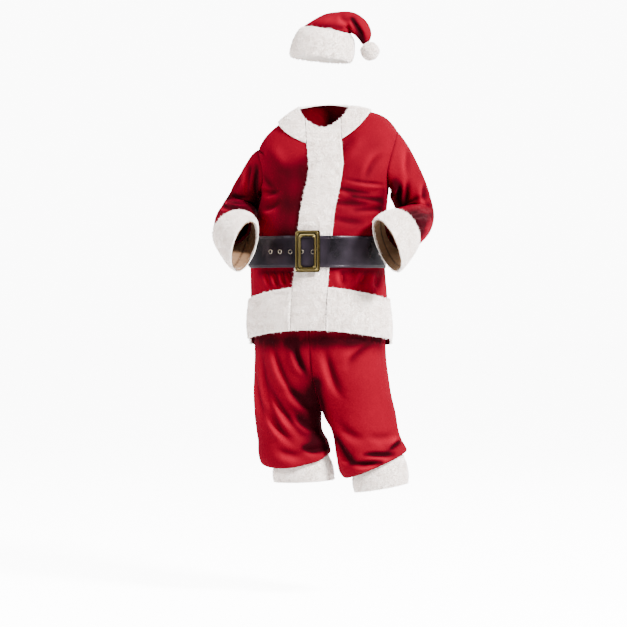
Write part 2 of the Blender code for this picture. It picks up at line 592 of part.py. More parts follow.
def seat(line, start, distance, near, far):
    """Place on the strap at a distance along it: its middle, across and out, clear of the strap near it."""
    run = np.concatenate(((0.0,), np.cumsum(np.linalg.norm(np.diff(line, axis=0), axis=1))))
    run -= run[start]

    def at(value):
        return np.array([np.interp(value, run, line[:, i]) for i in range(3)])

    middle = at(distance)
    across = unit((at(distance + far) - at(distance - far)) * (1, 1, 0))
    out = np.array((across[1], -across[0], 0.0))
    spans = np.concatenate((np.linspace(-far, -near, 9), np.linspace(near, far, 9)))
    reach = max((at(distance + span) - middle) @ out for span in spans)
    return middle + out * (reach + SEAM), across, out


def loop_points(width, foot, top, corner):
    """Rectangle with rounded corners, from its half width and the heights of its foot and top."""
    points = []
    for x, z, turn in ((width, top, 0), (-width, top, 1), (-width, foot, 2), (width, foot, 3)):
        inner_x, inner_z = x - math.copysign(corner, x), z - (corner if z == top else -corner)
        for part in range(3):
            angle = math.pi / 2 * (turn + part / 2)
            points.append((inner_x + corner * math.cos(angle), inner_z + corner * math.sin(angle)))
    return points


def buckle(line, start, brass):
    """Rectangular frame with two ridges all round. Its side bars press on the strap's eyelets."""
    half, foot, top = BUCKLE_WIDE / 2, BUCKLE_FOOT_Z, BUCKLE_FOOT_Z + BUCKLE_HIGH
    middle, across, out = seat(line, start, BUCKLE_SHIFT, half - BUCKLE_BAR, half)
    middle = middle + out * (EYELET_DEEP + SEAM)
    loops = []
    for share, deep in BUCKLE_PROFILE:
        bar, foot_bar = BUCKLE_BAR * share, BUCKLE_FOOT_BAR * share
        outline = loop_points(half - bar, foot + foot_bar, top - bar, BUCKLE_CORNER * (1 - 0.6 * share))
        ring = [(middle[0] + across[0] * u + out[0] * BUCKLE_DEEP * deep,
                 middle[1] + across[1] * u + out[1] * BUCKLE_DEEP * deep, w) for u, w in outline]
        loops.append(ring)
    count = len(loops[0])
    faces = []
    for k in range(len(loops)):
        near, far = k * count, (k + 1) % len(loops) * count
        for i in range(count):
            j = (i + 1) % count
            faces += [(near + i, near + j, far + j), (near + i, far + j, far + i)]
    finished("belt_buckle", [p for ring in loops for p in ring], faces, brass)


def eyelets(line, start, metal):
    """Round metal rims along the free end of the strap, the first of them inside the buckle."""
    for index in range(EYELETS):
        middle, across, out = seat(line, start, -EYELET_STEP * index, 0.0, EYELET_RADIUS)
        points, faces = [], []
        for radius, deep in ((EYELET_RADIUS, 0), (EYELET_RADIUS, 1), (EYELET_HOLE, 1), (EYELET_HOLE, 0)):
            for side in range(EYELET_SIDES):
                turn = side * 2 * math.pi / EYELET_SIDES
                up = np.array((0, 0, math.sin(turn) * radius))
                points.append(middle + across * math.cos(turn) * radius + up + out * EYELET_DEEP * deep)
        for k in range(4):
            near, far = k * EYELET_SIDES, (k + 1) % 4 * EYELET_SIDES
            for i in range(EYELET_SIDES):
                j = (i + 1) % EYELET_SIDES
                faces += [(near + i, near + j, far + j), (near + i, far + j, far + i)]
        finished(f"belt_eyelet_{index + 1}", points, faces, metal)


# ---- the trousers -------------------------------------------------------------------------------------
def hip_rows(side):
    """Rows of one trouser half inside the jacket, from the middle of the front round the side to the back."""
    sign = 1 if side == "left" else -1
    rows = ROWS[row_index(WAISTBAND_FOOT):]
    front = panel_angles("front_left")[-len(rows):]
    behind = panel_angles("back")[-len(rows):, 1:BACK_COLUMNS // 2 + 1]
    angles = np.concatenate((front, behind), axis=1) * sign
    level = np.broadcast_to(rows[:, None], angles.shape)
    points, normals = body_point(angles, level), body_normal(angles, level)
    points = folded(points, normals, BODY_FOLDS)
    clear = SEAM + HIP_EASE * ease((rows - BELT_FOOT) / (HEM - BELT_FOOT))
    return points - normals * (VELOUR + clear)[:, None, None], np.abs(angles[-1])


def leg_ring(row, angles, grow=0.0):
    """One closed ring of a leg or of its cuff: inner side, front, outer side and back."""
    _, z, tilt, sag, outer_x, inner_x, centre_y, depth = row
    centre, half = (outer_x + inner_x) / 2, (outer_x - inner_x) / 2
    half += grow * math.copysign(1, half)
    c, s = np.cos(2 * angles), np.sin(2 * angles)
    height = z - tilt * c - sag * np.abs(s)
    return np.stack((centre - half * c, centre_y - (depth + grow) * s, height), axis=-1)


def leg_rings(table, hip, angles):
    """Rings of one leg below the jacket. They part from the hip ring and close at the crotch."""
    places = np.linspace(0, len(table) - 1, LEG_RINGS)
    rings = []
    for place, row in zip(places, through(table, places)):
        if place <= CROTCH_ROW:
            row[LEG_INNER_X] = CROTCH_X
        split = min(row[0], 1.0)
        shared = hip.copy()
        shared[:, 2] = row[1]
        rings.append(shared * (1 - split) + leg_ring(row, angles) * split)
    return np.array(rings), places


def leg(side, table, red):
    """Front and back panel of one leg, down to the seam on its cuff. Returns its columns' angles."""
    sign = 1 if side == "left" else -1
    hips, angles = hip_rows(side)
    rings, place = leg_rings(table, hips[-1], angles)
    grid = np.concatenate((hips, rings))
    closed = np.concatenate((np.zeros(len(hips), bool), place >= CROTCH_ROW - 0.01))
    before = np.where(closed[:, None], grid[:, -2], 2 * grid[:, 0] - grid[:, 1])
    after = np.where(closed[:, None], grid[:, 1], 2 * grid[:, -1] - grid[:, -2])
    padded = np.concatenate((before[:, None], grid, after[:, None]), axis=1)
    normals = unit(np.cross(np.gradient(grid, axis=0), padded[:, 2:] - padded[:, :-2])) * sign
    normals[~closed, 0, 0] = sign * np.minimum(sign * normals[~closed, 0, 0], 0)
    normals[~closed, -1, 0] = sign * np.minimum(sign * normals[~closed, -1, 0], 0)
    calm = np.concatenate((np.ones(len(hips)), 1 - ease((place - LOWEST_ROW + 1) / LEG_CALM)))
    grid = grid + (folded(grid, normals, LEG_FOLDS) - grid) * calm[:, None, None]
    inner = grid - normals * VELOUR
    cut = FRONT_COLUMNS - 1
    for name, columns in (("front", slice(0, cut + 1)), ("back", slice(cut, None))):
        faces = [inset(face[:, columns][:, ::sign], (True, True), (True, False)) for face in (grid, inner)]
        solid(f"trousers_{name}_{side}", faces[0], faces[1], red)
    return angles[:-1]


def waistband(panels, red):
    """Band round the waist, just inside the jacket where the belt holds it."""
    points, normals = waist_ring(panels, BELT_TOP, WAISTBAND_FOOT)
    outer = inset(points - normals * (VELOUR + SEAM), (False, False), (False, True))
    solid("trousers_waistband", outer, outer - normals * VELOUR, red, wrap=True)


def ankle_cuff(side, table, foot, angles, white):
    """Plush cuff below the seam of the leg, with the leg's own columns."""
    sign = 1 if side == "left" else -1
    top = np.array(table[-1])
    top[1] -= SEAM
    rows = [(top * (1 - place) + np.array(foot) * place, share) for place, share in ANKLE_SHAPE]
    outer = np.array([leg_ring(row, angles, CUFF_PLUSH * share - ANKLE_INSET)[::sign] for row, share in rows])
    inner = np.array([leg_ring(row, angles, -ANKLE_INSET)[::sign] for row, _ in rows])
    solid("trousers_cuff_" + side, outer, inner, white, wrap=True)


# ---- the hat ------------------------------------------------------------------------------------------
def hat_ring(row, grow):
    """One ring of the hat, square to its aim. Its columns run round from the wearer's left."""
    x, z, aim_x, aim_z, half_width, half_depth = row
    aim = unit(np.array((aim_x, 0.0, aim_z)))
    across = np.array((aim[2], 0.0, -aim[0]))
    angles = np.arange(HAT_SIDES) * 2 * math.pi / HAT_SIDES
    side = np.cos(angles)[:, None] * across * (half_width + grow)
    depth = np.sin(angles)[:, None] * np.array((0.0, 1.0, 0.0)) * (half_depth + grow)
    return np.array((x, HAT_Y, z)) + side + depth


def hat(red, white):
    """Plush band round the head, a crown that topples over to the wearer's left, and a pompom at its tip."""
    place, share = np.array(BAND_SHAPE).T
    rows = through(HAT_BAND, place)
    outer = np.array([hat_ring(row, BAND_PLUSH * deep) for row, deep in zip(rows, share)])
    inner = np.array([hat_ring(row, 0.0) for row in rows])
    solid("hat_band", outer, inner, white, wrap=True)
    x, z, aim_x, aim_z, _, _ = HAT_BAND[-1]
    up = unit(np.array((aim_x, 0.0, aim_z)))
    seam = (x + up[0] * SEAM, z + up[2] * SEAM, aim_x, aim_z) + HAT_CROWN[0][4:]
    table = (seam,) + HAT_CROWN[1:]
    rows = through(table, np.linspace(0, len(table) - 1, CROWN_RINGS))
    rings = np.array([hat_ring(row, 0.0) for row in rows])
    normals = grid_normals(rings)
    normals[0] = unit(normals[0] - up * (normals[0] @ up)[:, None])
    solid("hat_crown", rings, rings - normals * VELOUR, red, wrap=True)
    x, z, aim_x, aim_z, tip_radius, _ = HAT_CROWN[-1]
    down = unit(np.array((aim_x, 0.0, aim_z))) * math.sqrt((POMPOM_RADIUS + SEAM) ** 2 - tip_radius ** 2)
    pompom(np.array((x + down[0], HAT_Y, z + down[2])), -unit(down), white)


def pompom(middle, tip, white):
    """Ball of plush in short three-sided locks. It is smooth where the crown's tip is sewn to it."""
    bpy.ops.mesh.primitive_ico_sphere_add(subdivisions=1, radius=1.0)
    ball = bpy.context.object
    ball.name = "hat_pompom"
    tip = Vector(tip)
    work = bmesh.new()
    work.from_mesh(ball.data)
    bmesh.ops.subdivide_edges(work, edges=work.edges, cuts=2, use_grid_fill=True)
    for vertex in work.verts:
        out = vertex.co.normalized()
        vertex.co = out * (POMPOM_RADIUS if out.dot(tip) > POMPOM_SEAT else POMPOM_CORE)
    roots = [face for face in work.faces if face.calc_center_median().normalized().dot(tip) < POMPOM_SEAT]
    locks = bmesh.ops.poke(work, faces=roots)["verts"]
    for index, vertex in enumerate(locks):
        vertex.co = vertex.co.normalized() * POMPOM_RADIUS * (0.94 + 0.06 * math.sin(index * index))
    bmesh.ops.translate(work, verts=work.verts, vec=Vector(middle))
    work.to_mesh(ball.data)
    work.free()
    ball.data.materials.append(white)


def build():
    for thing in list(bpy.data.objects):
        bpy.data.objects.remove(thing)
    red = material_for("red_velour", RED, 0.75, 0.0)
    white = material_for("white_plush", WHITE, 0.95, 0.0)
    tan = material_for("tan_satin", TAN, 0.45, 0.0)
    black = material_for("black_vinyl", BLACK, 0.25, 0.0)
    brass = material_for("aged_brass", BRASS, 0.35, 1.0)
    metal = material_for("eyelet_metal", GREY_METAL, 0.3, 1.0)
    panels = {piece: panel(piece) for piece in ("front_right", "front_left", "back")}
    jacket(panels, red)
    front_strip(panels, white)
    collar_and_hem(panels, white)
    for side, table, mouth in (("left", LEFT_ARM, LEFT_MOUTH), ("right", RIGHT_ARM, RIGHT_MOUTH)):
        up, turn = sleeve(panels, side, table, red)
        wrist(side, table, mouth, up, turn, white, tan)
    line, start = belt(panels, black)
    buckle(line, start, brass)
    eyelets(line, start, metal)
    waistband(panels, red)
    for side, table, foot in (("left", LEFT_LEG, LEFT_ANKLE), ("right", RIGHT_LEG, RIGHT_ANKLE)):
        angles = leg(side, table, red)
        ankle_cuff(side, table, foot, angles, white)
    hat(red, white)


build()
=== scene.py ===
import math

import bmesh
import bpy
import numpy as np
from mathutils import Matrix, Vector
from mathutils.kdtree import KDTree


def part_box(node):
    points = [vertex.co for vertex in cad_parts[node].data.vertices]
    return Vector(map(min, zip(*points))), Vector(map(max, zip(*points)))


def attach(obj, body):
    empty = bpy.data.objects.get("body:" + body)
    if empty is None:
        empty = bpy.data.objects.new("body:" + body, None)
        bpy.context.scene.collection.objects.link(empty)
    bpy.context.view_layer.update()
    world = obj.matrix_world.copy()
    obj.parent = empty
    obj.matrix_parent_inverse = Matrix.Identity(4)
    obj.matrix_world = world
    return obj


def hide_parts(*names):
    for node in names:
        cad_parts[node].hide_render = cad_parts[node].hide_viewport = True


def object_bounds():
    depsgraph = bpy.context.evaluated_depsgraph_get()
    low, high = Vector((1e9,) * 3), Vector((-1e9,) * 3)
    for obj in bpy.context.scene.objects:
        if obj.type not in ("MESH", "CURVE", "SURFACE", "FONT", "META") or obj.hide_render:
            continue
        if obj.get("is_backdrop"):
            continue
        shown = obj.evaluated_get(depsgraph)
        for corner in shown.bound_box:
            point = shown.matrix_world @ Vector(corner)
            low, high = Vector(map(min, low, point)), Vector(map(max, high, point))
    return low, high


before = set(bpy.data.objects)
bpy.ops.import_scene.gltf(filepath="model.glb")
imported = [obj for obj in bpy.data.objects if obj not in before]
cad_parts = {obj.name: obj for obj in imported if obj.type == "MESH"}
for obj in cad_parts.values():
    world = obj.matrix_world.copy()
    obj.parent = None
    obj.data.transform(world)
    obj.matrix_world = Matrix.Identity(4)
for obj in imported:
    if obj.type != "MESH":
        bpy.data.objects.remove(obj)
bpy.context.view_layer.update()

# ---- Studio ----
# A pale floor at the level of the wearer's feet, a white surround, a soft light from high on the viewer's
# right, an edge light from the left and a faint one from behind. Floor and surround look brighter to the
# camera than they light the suit, so that the cloth keeps its dark folds.
CAMERA_TURN = math.radians(8.0)
CAMERA_AWAY, CAMERA_RISE = 7.0, 0.10
SIGHT_POINT = (-0.036, -0.642)          # across the picture and up, seen from the camera's side
PICTURE_WIDTH, FILM_WIDTH = 1.960, 36.0
FLOOR_Z, FLOOR_SIZE = -1.538, 60.0
LIGHTS_AIM = Vector((0.0, 0.0, -0.6))
SURROUND_GLOW = (0.45, 10.5)            # as it lights the suit, and as the camera sees it
FLOOR_GLOW = (0.0, 9.9)


def linked(name, data):
    """A new object in the scene, at the origin."""
    thing = bpy.data.objects.new(name, data)
    bpy.context.scene.collection.objects.link(thing)
    return thing


def feed(tree, socket, value):
    """Sets a socket to a number or colour, or links another socket to it."""
    if isinstance(value, bpy.types.NodeSocket):
        tree.links.new(value, socket)
    else:
        socket.default_value = value


def set_inputs(tree, node, **values):
    """Feeds a node's inputs by name, with _ in place of a space."""
    for name, value in values.items():
        feed(tree, node.inputs[name.replace("_", " ")], value)


def new_node(tree, kind, **values):
    """A shader node of the given kind, with its inputs set."""
    node = tree.nodes.new("ShaderNode" + kind)
    set_inputs(tree, node, **values)
    return node


def glow_for(tree, lit, seen):
    """A brightness that is one value as a light and another as the camera sees it."""
    ray = new_node(tree, "LightPath").outputs["Is Camera Ray"]
    return new_node(tree, "MapRange", Value=ray, To_Min=lit, To_Max=seen).outputs["Result"]


across = Vector((math.cos(CAMERA_TURN), math.sin(CAMERA_TURN), 0.0))
towards_viewer = Vector((math.sin(CAMERA_TURN), -math.cos(CAMERA_TURN), 0.0))
sight = across * SIGHT_POINT[0] + Vector((0.0, 0.0, SIGHT_POINT[1]))
camera_data = bpy.data.cameras.new("camera")
camera_data.sensor_width = FILM_WIDTH
camera_data.lens = FILM_WIDTH * CAMERA_AWAY / PICTURE_WIDTH
camera = linked("camera", camera_data)
camera.location = sight + towards_viewer * CAMERA_AWAY + Vector((0.0, 0.0, CAMERA_RISE))
camera.rotation_euler = (sight - camera.location).to_track_quat("-Z", "Y").to_euler()
bpy.context.scene.camera = camera


def soft_light(name, place, size, power):
    """A square light that faces the suit."""
    lamp_data = bpy.data.lights.new(name, "AREA")
    lamp_data.size = size
    lamp_data.energy = power
    lamp = linked(name, lamp_data)
    lamp.location = place
    lamp.rotation_euler = (LIGHTS_AIM - lamp.location).to_track_quat("-Z", "Y").to_euler()


soft_light("key_light", (4.1, -2.9, 3.1), 1.1, 2150.0)
soft_light("edge_light", (-3.3, -1.4, 0.9), 1.5, 260.0)
soft_light("back_light", (1.2, 3.6, 1.8), 2.4, 135.0)

surround = bpy.data.worlds.new("white_surround")
surround.use_nodes = True
tree = surround.node_tree
set_inputs(tree, tree.nodes["Background"], Color=(1.0, 1.0, 1.0, 1.0),
           Strength=glow_for(tree, *SURROUND_GLOW))
bpy.context.scene.world = surround

bpy.ops.object.select_all(action="DESELECT")
bpy.ops.mesh.primitive_plane_add(size=FLOOR_SIZE, location=(0.0, 0.0, FLOOR_Z))
floor = bpy.context.object
floor.name = "studio_floor"
bpy.ops.object.transform_apply(location=True, rotation=True, scale=True)
floor_paint = bpy.data.materials.new("floor_paint")
floor_paint.use_nodes = True
tree = floor_paint.node_tree
set_inputs(tree, tree.nodes["Principled BSDF"], Base_Color=(0.90, 0.90, 0.90, 1.0), Roughness=0.8,
           Specular_IOR_Level=0.1, Emission_Color=(1.0, 1.0, 1.0, 1.0),
           Emission_Strength=glow_for(tree, *FLOOR_GLOW))
floor.data.materials.append(floor_paint)
floor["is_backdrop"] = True

# ---- Jacket panels ----
# Two fronts and a back, cut from short-pile red velour and sewn down the sides and along the shoulders.
# Each panel lies on its own solid's outer face, with the creases that the wearer's belly, arms and belt
# press into it, and a shallow dip where the seam pulls it in.
VELOUR_WALL = 0.0016
PANEL_WAVE = (0.075, 0.0012)            # size and depth of the cloth's slack
FACES_KEPT = 0.46                       # share of its faces that a thinned sheet keeps
SHARP = math.radians(50.0)              # edges that turn by more than this are corners
SKEW = math.radians(70.0)               # two triangles further out of square than this stay apart
WELD = 0.00002
EDGE_CREASE = 0.9                       # how well a backing's corners hold when it is subdivided
SEAM_DIP, SEAM_REACH = 0.0009, 0.0045
SEAM_SHADE, SEAM_SHADE_REACH = 0.65, 0.0035
SEAM_ALLOWANCE, SEAM_SINK = 0.0008, 0.0009   # how far an edge goes on past its seam, and below it
CALM_EDGE = 0.010                       # creases die out this near to an edge
LEVEL_SLOPE = 0.75                      # an edge that rises less than this in its length is level
TUCK_ROUND, TUCK_SHARE = 0.014, 0.75    # how softly a blousing edge is turned in to its cuff
BLOUSING, BLOUSING_REACH = 0.007, 0.065  # how far the cloth stands out above the cuff, and how high up
BLOUSING_CALM = 0.03                    # it stands out less this near to a side seam
CREASE_FACING, STROKE_FACING = 2.5, 4.0  # how soon they reach full strength on cloth that turns to their side
UPWARD_LIMIT = 1.6                      # a stroke of painted shade on a side dies out on cloth that faces up
CREASE_FADE = 1.15                      # a crease fades out over the outer parts of its length
CREASE_WANDER = 0.3                     # how far it strays sideways, in widths
HOLLOW_DEPTH = 0.8                      # beside a crease, as a share of its height
HOLLOW_AT, HOLLOW_WIDE = 1.7, 1.3       # the hollow's place and width, in widths of the crease
SLOPE_STEP = 0.004
FULL_DEPTH, FULL_SLOPE, FULL_RISE = 0.008, 0.006, 0.006   # depth, slope and rise at which the painted shade or painted highlight is full
# painted shade in troughs and on slopes turned from the light, painted highlight on ridges and slopes turned
# to it
TROUGH_SHADE, SLOPE_SHADE = 0.65, 0.35
RIDGE_HIGHLIGHT, SLOPE_HIGHLIGHT = 0.35, 0.40
BELT_MIDDLE, BELT_HALF, BELT_BLEND = -0.452, 0.048, 0.014

JACKET_CREASES = {"front": (
    # from x, z      to x, z         height   width  bow
    (0.070, -0.226, 0.218, -0.248, -0.0034, 0.006, 0.003),
    (0.026, -0.252, 0.190, -0.272, -0.0028, 0.007, 0.006),
    (0.060, -0.264, 0.232, -0.294, -0.0040, 0.007, 0.006),
    (0.020, -0.298, 0.170, -0.300, -0.0026, 0.008, 0.008),
    (0.080, -0.318, 0.226, -0.314, -0.0034, 0.008, 0.006),
    (0.026, -0.346, 0.160, -0.358, -0.0028, 0.010, 0.006),
    (0.194, -0.150, 0.136, -0.240, -0.0045, 0.010, 0.006),
    (0.130, -0.090, 0.086, -0.190, 0.0040, 0.018, 0.006),
    (-0.186, -0.256, -0.125, -0.272, -0.0075, 0.010, 0.004),
    (-0.193, -0.315, -0.117, -0.298, -0.0055, 0.011, 0.006),
    (-0.188, -0.206, -0.140, -0.262, -0.0060, 0.011, 0.004),
    (-0.150, -0.112, -0.100, -0.205, 0.0040, 0.018, 0.006),
    (-0.160, -0.508, -0.146, -0.562, -0.0060, 0.005, 0.003),
    (-0.138, -0.508, -0.118, -0.560, -0.0070, 0.005, 0.003),
    (-0.112, -0.508, -0.090, -0.556, -0.0070, 0.005, 0.003),
    (-0.090, -0.508, -0.072, -0.545, -0.0060, 0.005, 0.002),
    (0.083, -0.508, 0.078, -0.558, -0.0050, 0.009, 0.002),
    (0.144, -0.508, 0.130, -0.563, -0.0050, 0.010, 0.003),
    (0.181, -0.510, 0.179, -0.573, -0.0050, 0.009, 0.003),
), "back": (
    (0.165, -0.200, 0.060, -0.300, -0.0049, 0.021, 0.008),
    (-0.165, -0.215, -0.060, -0.310, -0.0049, 0.021, -0.008),
    (0.150, -0.300, 0.020, -0.395, -0.0042, 0.022, 0.010),
    (-0.160, -0.310, -0.030, -0.392, -0.0042, 0.022, -0.010),
    (-0.020, -0.100, 0.010, -0.240, 0.0045, 0.020, 0.004),
    (0.150, -0.508, 0.142, -0.575, -0.0065, 0.009, 0.003),
    (0.055, -0.508, 0.050, -0.590, -0.0070, 0.009, 0.003),
    (-0.045, -0.508, -0.050, -0.580, -0.0065, 0.009, 0.003),
    (-0.150, -0.508, -0.155, -0.585, -0.0065, 0.009, 0.003),
)}

JACKET_PAINTED_SHADE = {"front": (   # painted shade, as dark strokes along folds, beside the trim, at the sides and under the belt
    # from x, z      to x, z         reach  darkness
    (-0.040, -0.190, -0.050, -0.410, 0.050, 0.80),
    (-0.110, -0.215, -0.100, -0.400, 0.042, 0.42),
    (0.050, -0.254, 0.150, -0.272, 0.006, 0.26),
    (0.110, -0.284, 0.200, -0.300, 0.008, 0.30),
    (0.050, -0.304, 0.140, -0.308, 0.012, 0.26),
    (0.120, -0.326, 0.190, -0.320, 0.008, 0.24),
    (0.052, -0.356, 0.130, -0.366, 0.016, 0.24),
    (0.090, -0.060, 0.120, -0.400, 0.085, 0.36),
    (-0.120, -0.080, -0.150, -0.400, 0.070, 0.20),
    (0.196, -0.262, 0.194, -0.330, 0.014, 0.55),
    (-0.198, -0.250, -0.200, -0.340, 0.014, 0.60),
    # painted shadow under the belt
    (-0.180, -0.514, -0.074, -0.514, 0.013, 0.60),
    (0.048, -0.507, 0.188, -0.512, 0.011, 0.55),
    (0.100, -0.282, 0.180, -0.290, 0.012, 0.30),
), "back": (
    (-0.120, -0.240, -0.060, -0.370, 0.055, 0.38),
    (0.130, -0.190, 0.080, -0.300, 0.052, 0.34),
    # painted shadow under the belt
    (-0.180, -0.514, 0.180, -0.514, 0.014, 0.60),
)}


def wall_mesh(node, outer_only, sharp=SHARP):
    """Quads of a node's wall, welded. Its outer face alone, or the whole wall with that face's weight."""
    work = bmesh.new()
    work.from_mesh(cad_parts[node].data)
    bmesh.ops.remove_doubles(work, verts=work.verts, dist=WELD)
    work.normal_update()
    middle = sum((v.co for v in work.verts), Vector()) / len(work.verts)
    reached, outer, widest = set(), [], 0.0
    for start in work.faces:
        if start in reached:
            continue
        reached.add(start)
        spread, waiting = [], [start]
        while waiting:
            face = waiting.pop()
            spread.append(face)
            for edge in face.edges:
                if len(edge.link_faces) == 2 and edge.calc_face_angle() < sharp:
                    for other in edge.link_faces:
                        if other not in reached:
                            reached.add(other)
                            waiting.append(other)
        lean = sum(f.calc_area() * f.normal.dot(f.calc_center_median() - middle) for f in spread)
        area = sum(f.calc_area() for f in spread)
        if lean > 0 and area > widest:
            widest, outer = area, spread
    if outer_only:
        keep = set(outer)
        bmesh.ops.delete(work, geom=[f for f in work.faces if f not in keep], context="FACES")
    else:
        weight = work.verts.layers.float.new("pile_side")
        for face in outer:
            for v in face.verts:
                v[weight] = 1.0
        crease = work.edges.layers.float.new("crease_edge")
        for edge in work.edges:
            edge[crease] = EDGE_CREASE if edge.calc_face_angle() > sharp else 0.0
    bmesh.ops.join_triangles(work, faces=work.faces, angle_face_threshold=SHARP, angle_shape_threshold=SKEW)
    mesh = bpy.data.meshes.new(node)
    work.to_mesh(mesh)
    work.free()
    return mesh


def apply_modifier(piece, kind, **settings):
    """Adds a modifier to the piece and applies it at once."""
    modifier = piece.modifiers.new("step", kind)
    for name, value in settings.items():
        setattr(modifier, name, value)
    bpy.context.view_layer.objects.active = piece
    bpy.ops.object.modifier_apply(modifier=modifier.name)


def subdivided(piece, levels):
    """Rounds the piece off with more faces."""
    apply_modifier(piece, "SUBSURF", levels=levels, render_levels=levels)


def smooth(piece):
    """Shades the piece without facets."""
    piece.data.polygons.foreach_set("use_smooth", [True] * len(piece.data.polygons))


def mark_points(piece, name, values):
    """Keeps one number for each point of the piece, for its material to read."""
    piece.data.attributes.new(name, "FLOAT", "POINT").data.foreach_set("value", values)


def read_points(piece):
    """Places and normals of the piece's points as two arrays."""
    count = len(piece.data.vertices)
    places, normals = np.empty(count * 3), np.empty(count * 3)
    piece.data.vertices.foreach_get("co", places)
    piece.data.vertices.foreach_get("normal", normals)
    return places.reshape(-1, 3), normals.reshape(-1, 3)


def write_points(piece, places):
    """Moves the piece's points to the given places."""
    piece.data.vertices.foreach_set("co", places.ravel())
    piece.data.update()


def turned_to(normals, face, gain):
    """How far the cloth faces the given way, from 0 to 1."""
    axis, sign = {"front": (1, -1.0), "back": (1, 1.0), "top": (2, 1.0)}[face]
    return np.clip(normals[:, axis] * sign * gain, 0, 1)


def along_line(places, x0, z0, x1, z1):
    """A line's run, each place's offset from its start, and how far along it the place is, as a share."""
    run, offset = np.array((x1 - x0, z1 - z0)), places[:, (0, 2)] - (x0, z0)
    return run, offset, offset @ run / (run @ run)


def crease_heights(places, normals, creases):
    """Height of every crease at each point: a soft ridge with a hollow along one side, or the reverse."""
    height = np.zeros(len(places))
    for face, rows in creases.items():
        facing = turned_to(normals, face, CREASE_FACING)
        for x0, z0, x1, z1, rise, width, bow in rows:
            run, offset, along = along_line(places, x0, z0, x1, z1)
            side = (offset[:, 0] * run[1] - offset[:, 1] * run[0]) / np.linalg.norm(run)
            wander = width * CREASE_WANDER * np.sin(along * 4.0 + x0 * 50.0)
            side = side - bow * (1 - (2 * along - 1) ** 2) + wander
            fade = np.clip(CREASE_FADE - np.abs(along * 2 - 1), 0, 1)
            fade = fade * fade * (3 - 2 * fade)
            hollow = np.exp(-(((side - HOLLOW_AT * width) / (HOLLOW_WIDE * width)) ** 2))
            height += rise * (np.exp(-((side / width) ** 2)) - HOLLOW_DEPTH * hollow) * fade * facing
    return height


def paint_shade_and_highlight(places, normals, creases, strokes):
    """Painted shade in troughs, on slopes away from the light and along strokes; painted highlight on ridges
    and lit slopes.
    """
    step = np.array((SLOPE_STEP, 0.0, SLOPE_STEP))
    height = crease_heights(places, normals, creases)
    slope = crease_heights(places + step, normals, creases) - crease_heights(places - step, normals, creases)
    dark = np.clip(-height / FULL_DEPTH, 0, 1) * TROUGH_SHADE
    dark += np.clip(slope / FULL_SLOPE, 0, 1) * SLOPE_SHADE
    bright = np.clip(height / FULL_RISE, 0, 1) * RIDGE_HIGHLIGHT
    bright += np.clip(-slope / FULL_SLOPE, 0, 1) * SLOPE_HIGHLIGHT
    for face, rows in strokes.items():
        facing = turned_to(normals, face, STROKE_FACING)
        if face != "top":
            facing *= np.clip(UPWARD_LIMIT * (1 - normals[:, 2]), 0, 1)
        for x0, z0, x1, z1, reach, amount in rows:
            run, offset, along = along_line(places, x0, z0, x1, z1)
            away = np.linalg.norm(offset - np.clip(along, 0, 1)[:, None] * run, axis=1) / reach
            away += 0.14 * np.sin(places[:, 2] * 61 + x0 * 60) + 0.12 * np.sin(places[:, 0] * 73 + z0 * 30)
            dark += amount * np.exp(-np.clip(away, 0, None) ** 2) * facing
    return np.clip(dark, 0, 1), np.clip(bright, 0, 1)


def cloth_waves(places, size, depth):
    """Slack in the cloth: low uneven waves of about the given size."""
    x, y, z = places[:, 0] / size, places[:, 1] / size, places[:, 2] / size
    bend = np.sin(z * 2.1 + 1.3 * np.sin(x * 1.7) + 0.7) + 0.6 * np.sin(y * 2.6 + x * 1.1)
    cross = np.sin(x * 2.4 + 1.1 * np.sin(z * 1.9 + 2.0)) * np.sin(y * 1.5 + z * 1.3)
    return depth * (0.45 * bend + 0.55 * cross)


def away_from_edges(piece, places, level_below=None):
    """How far each place is from the sheet's open edges, or from the level ones below a height."""
    work = bmesh.new()
    work.from_mesh(piece.data)
    ends = []
    for rim in work.edges:
        run = rim.verts[1].co - rim.verts[0].co
        level = abs(run.z) < LEVEL_SLOPE * run.length
        if rim.is_boundary and (level_below is None or level and rim.verts[0].co.z < level_below):
            ends.extend((rim.verts[0].co.copy(), rim.verts[1].co.copy()))
    work.free()
    tree = KDTree(len(ends))
    for number, place in enumerate(ends):
        tree.insert(place, number)
    tree.balance()
    return np.array([tree.find(place)[2] for place in places])


def tuck_edges_under(piece, normals, seam):
    """Carries the sheet's open edges on past the seam and a little below it, as a seam allowance is."""
    work = bmesh.new()
    work.from_mesh(piece.data)
    moved = {}
    for v in work.verts:
        if v.is_boundary:
            inner = [e.other_vert(v).co for e in v.link_edges if not e.is_boundary]
            if inner:
                outwards = (v.co - sum(inner, Vector()) / len(inner)).normalized()
                moved[v.index] = v.co + outwards * seam - Vector(normals[v.index]) * SEAM_SINK
    for index, place in moved.items():
        piece.data.vertices[index].co = place
    work.free()


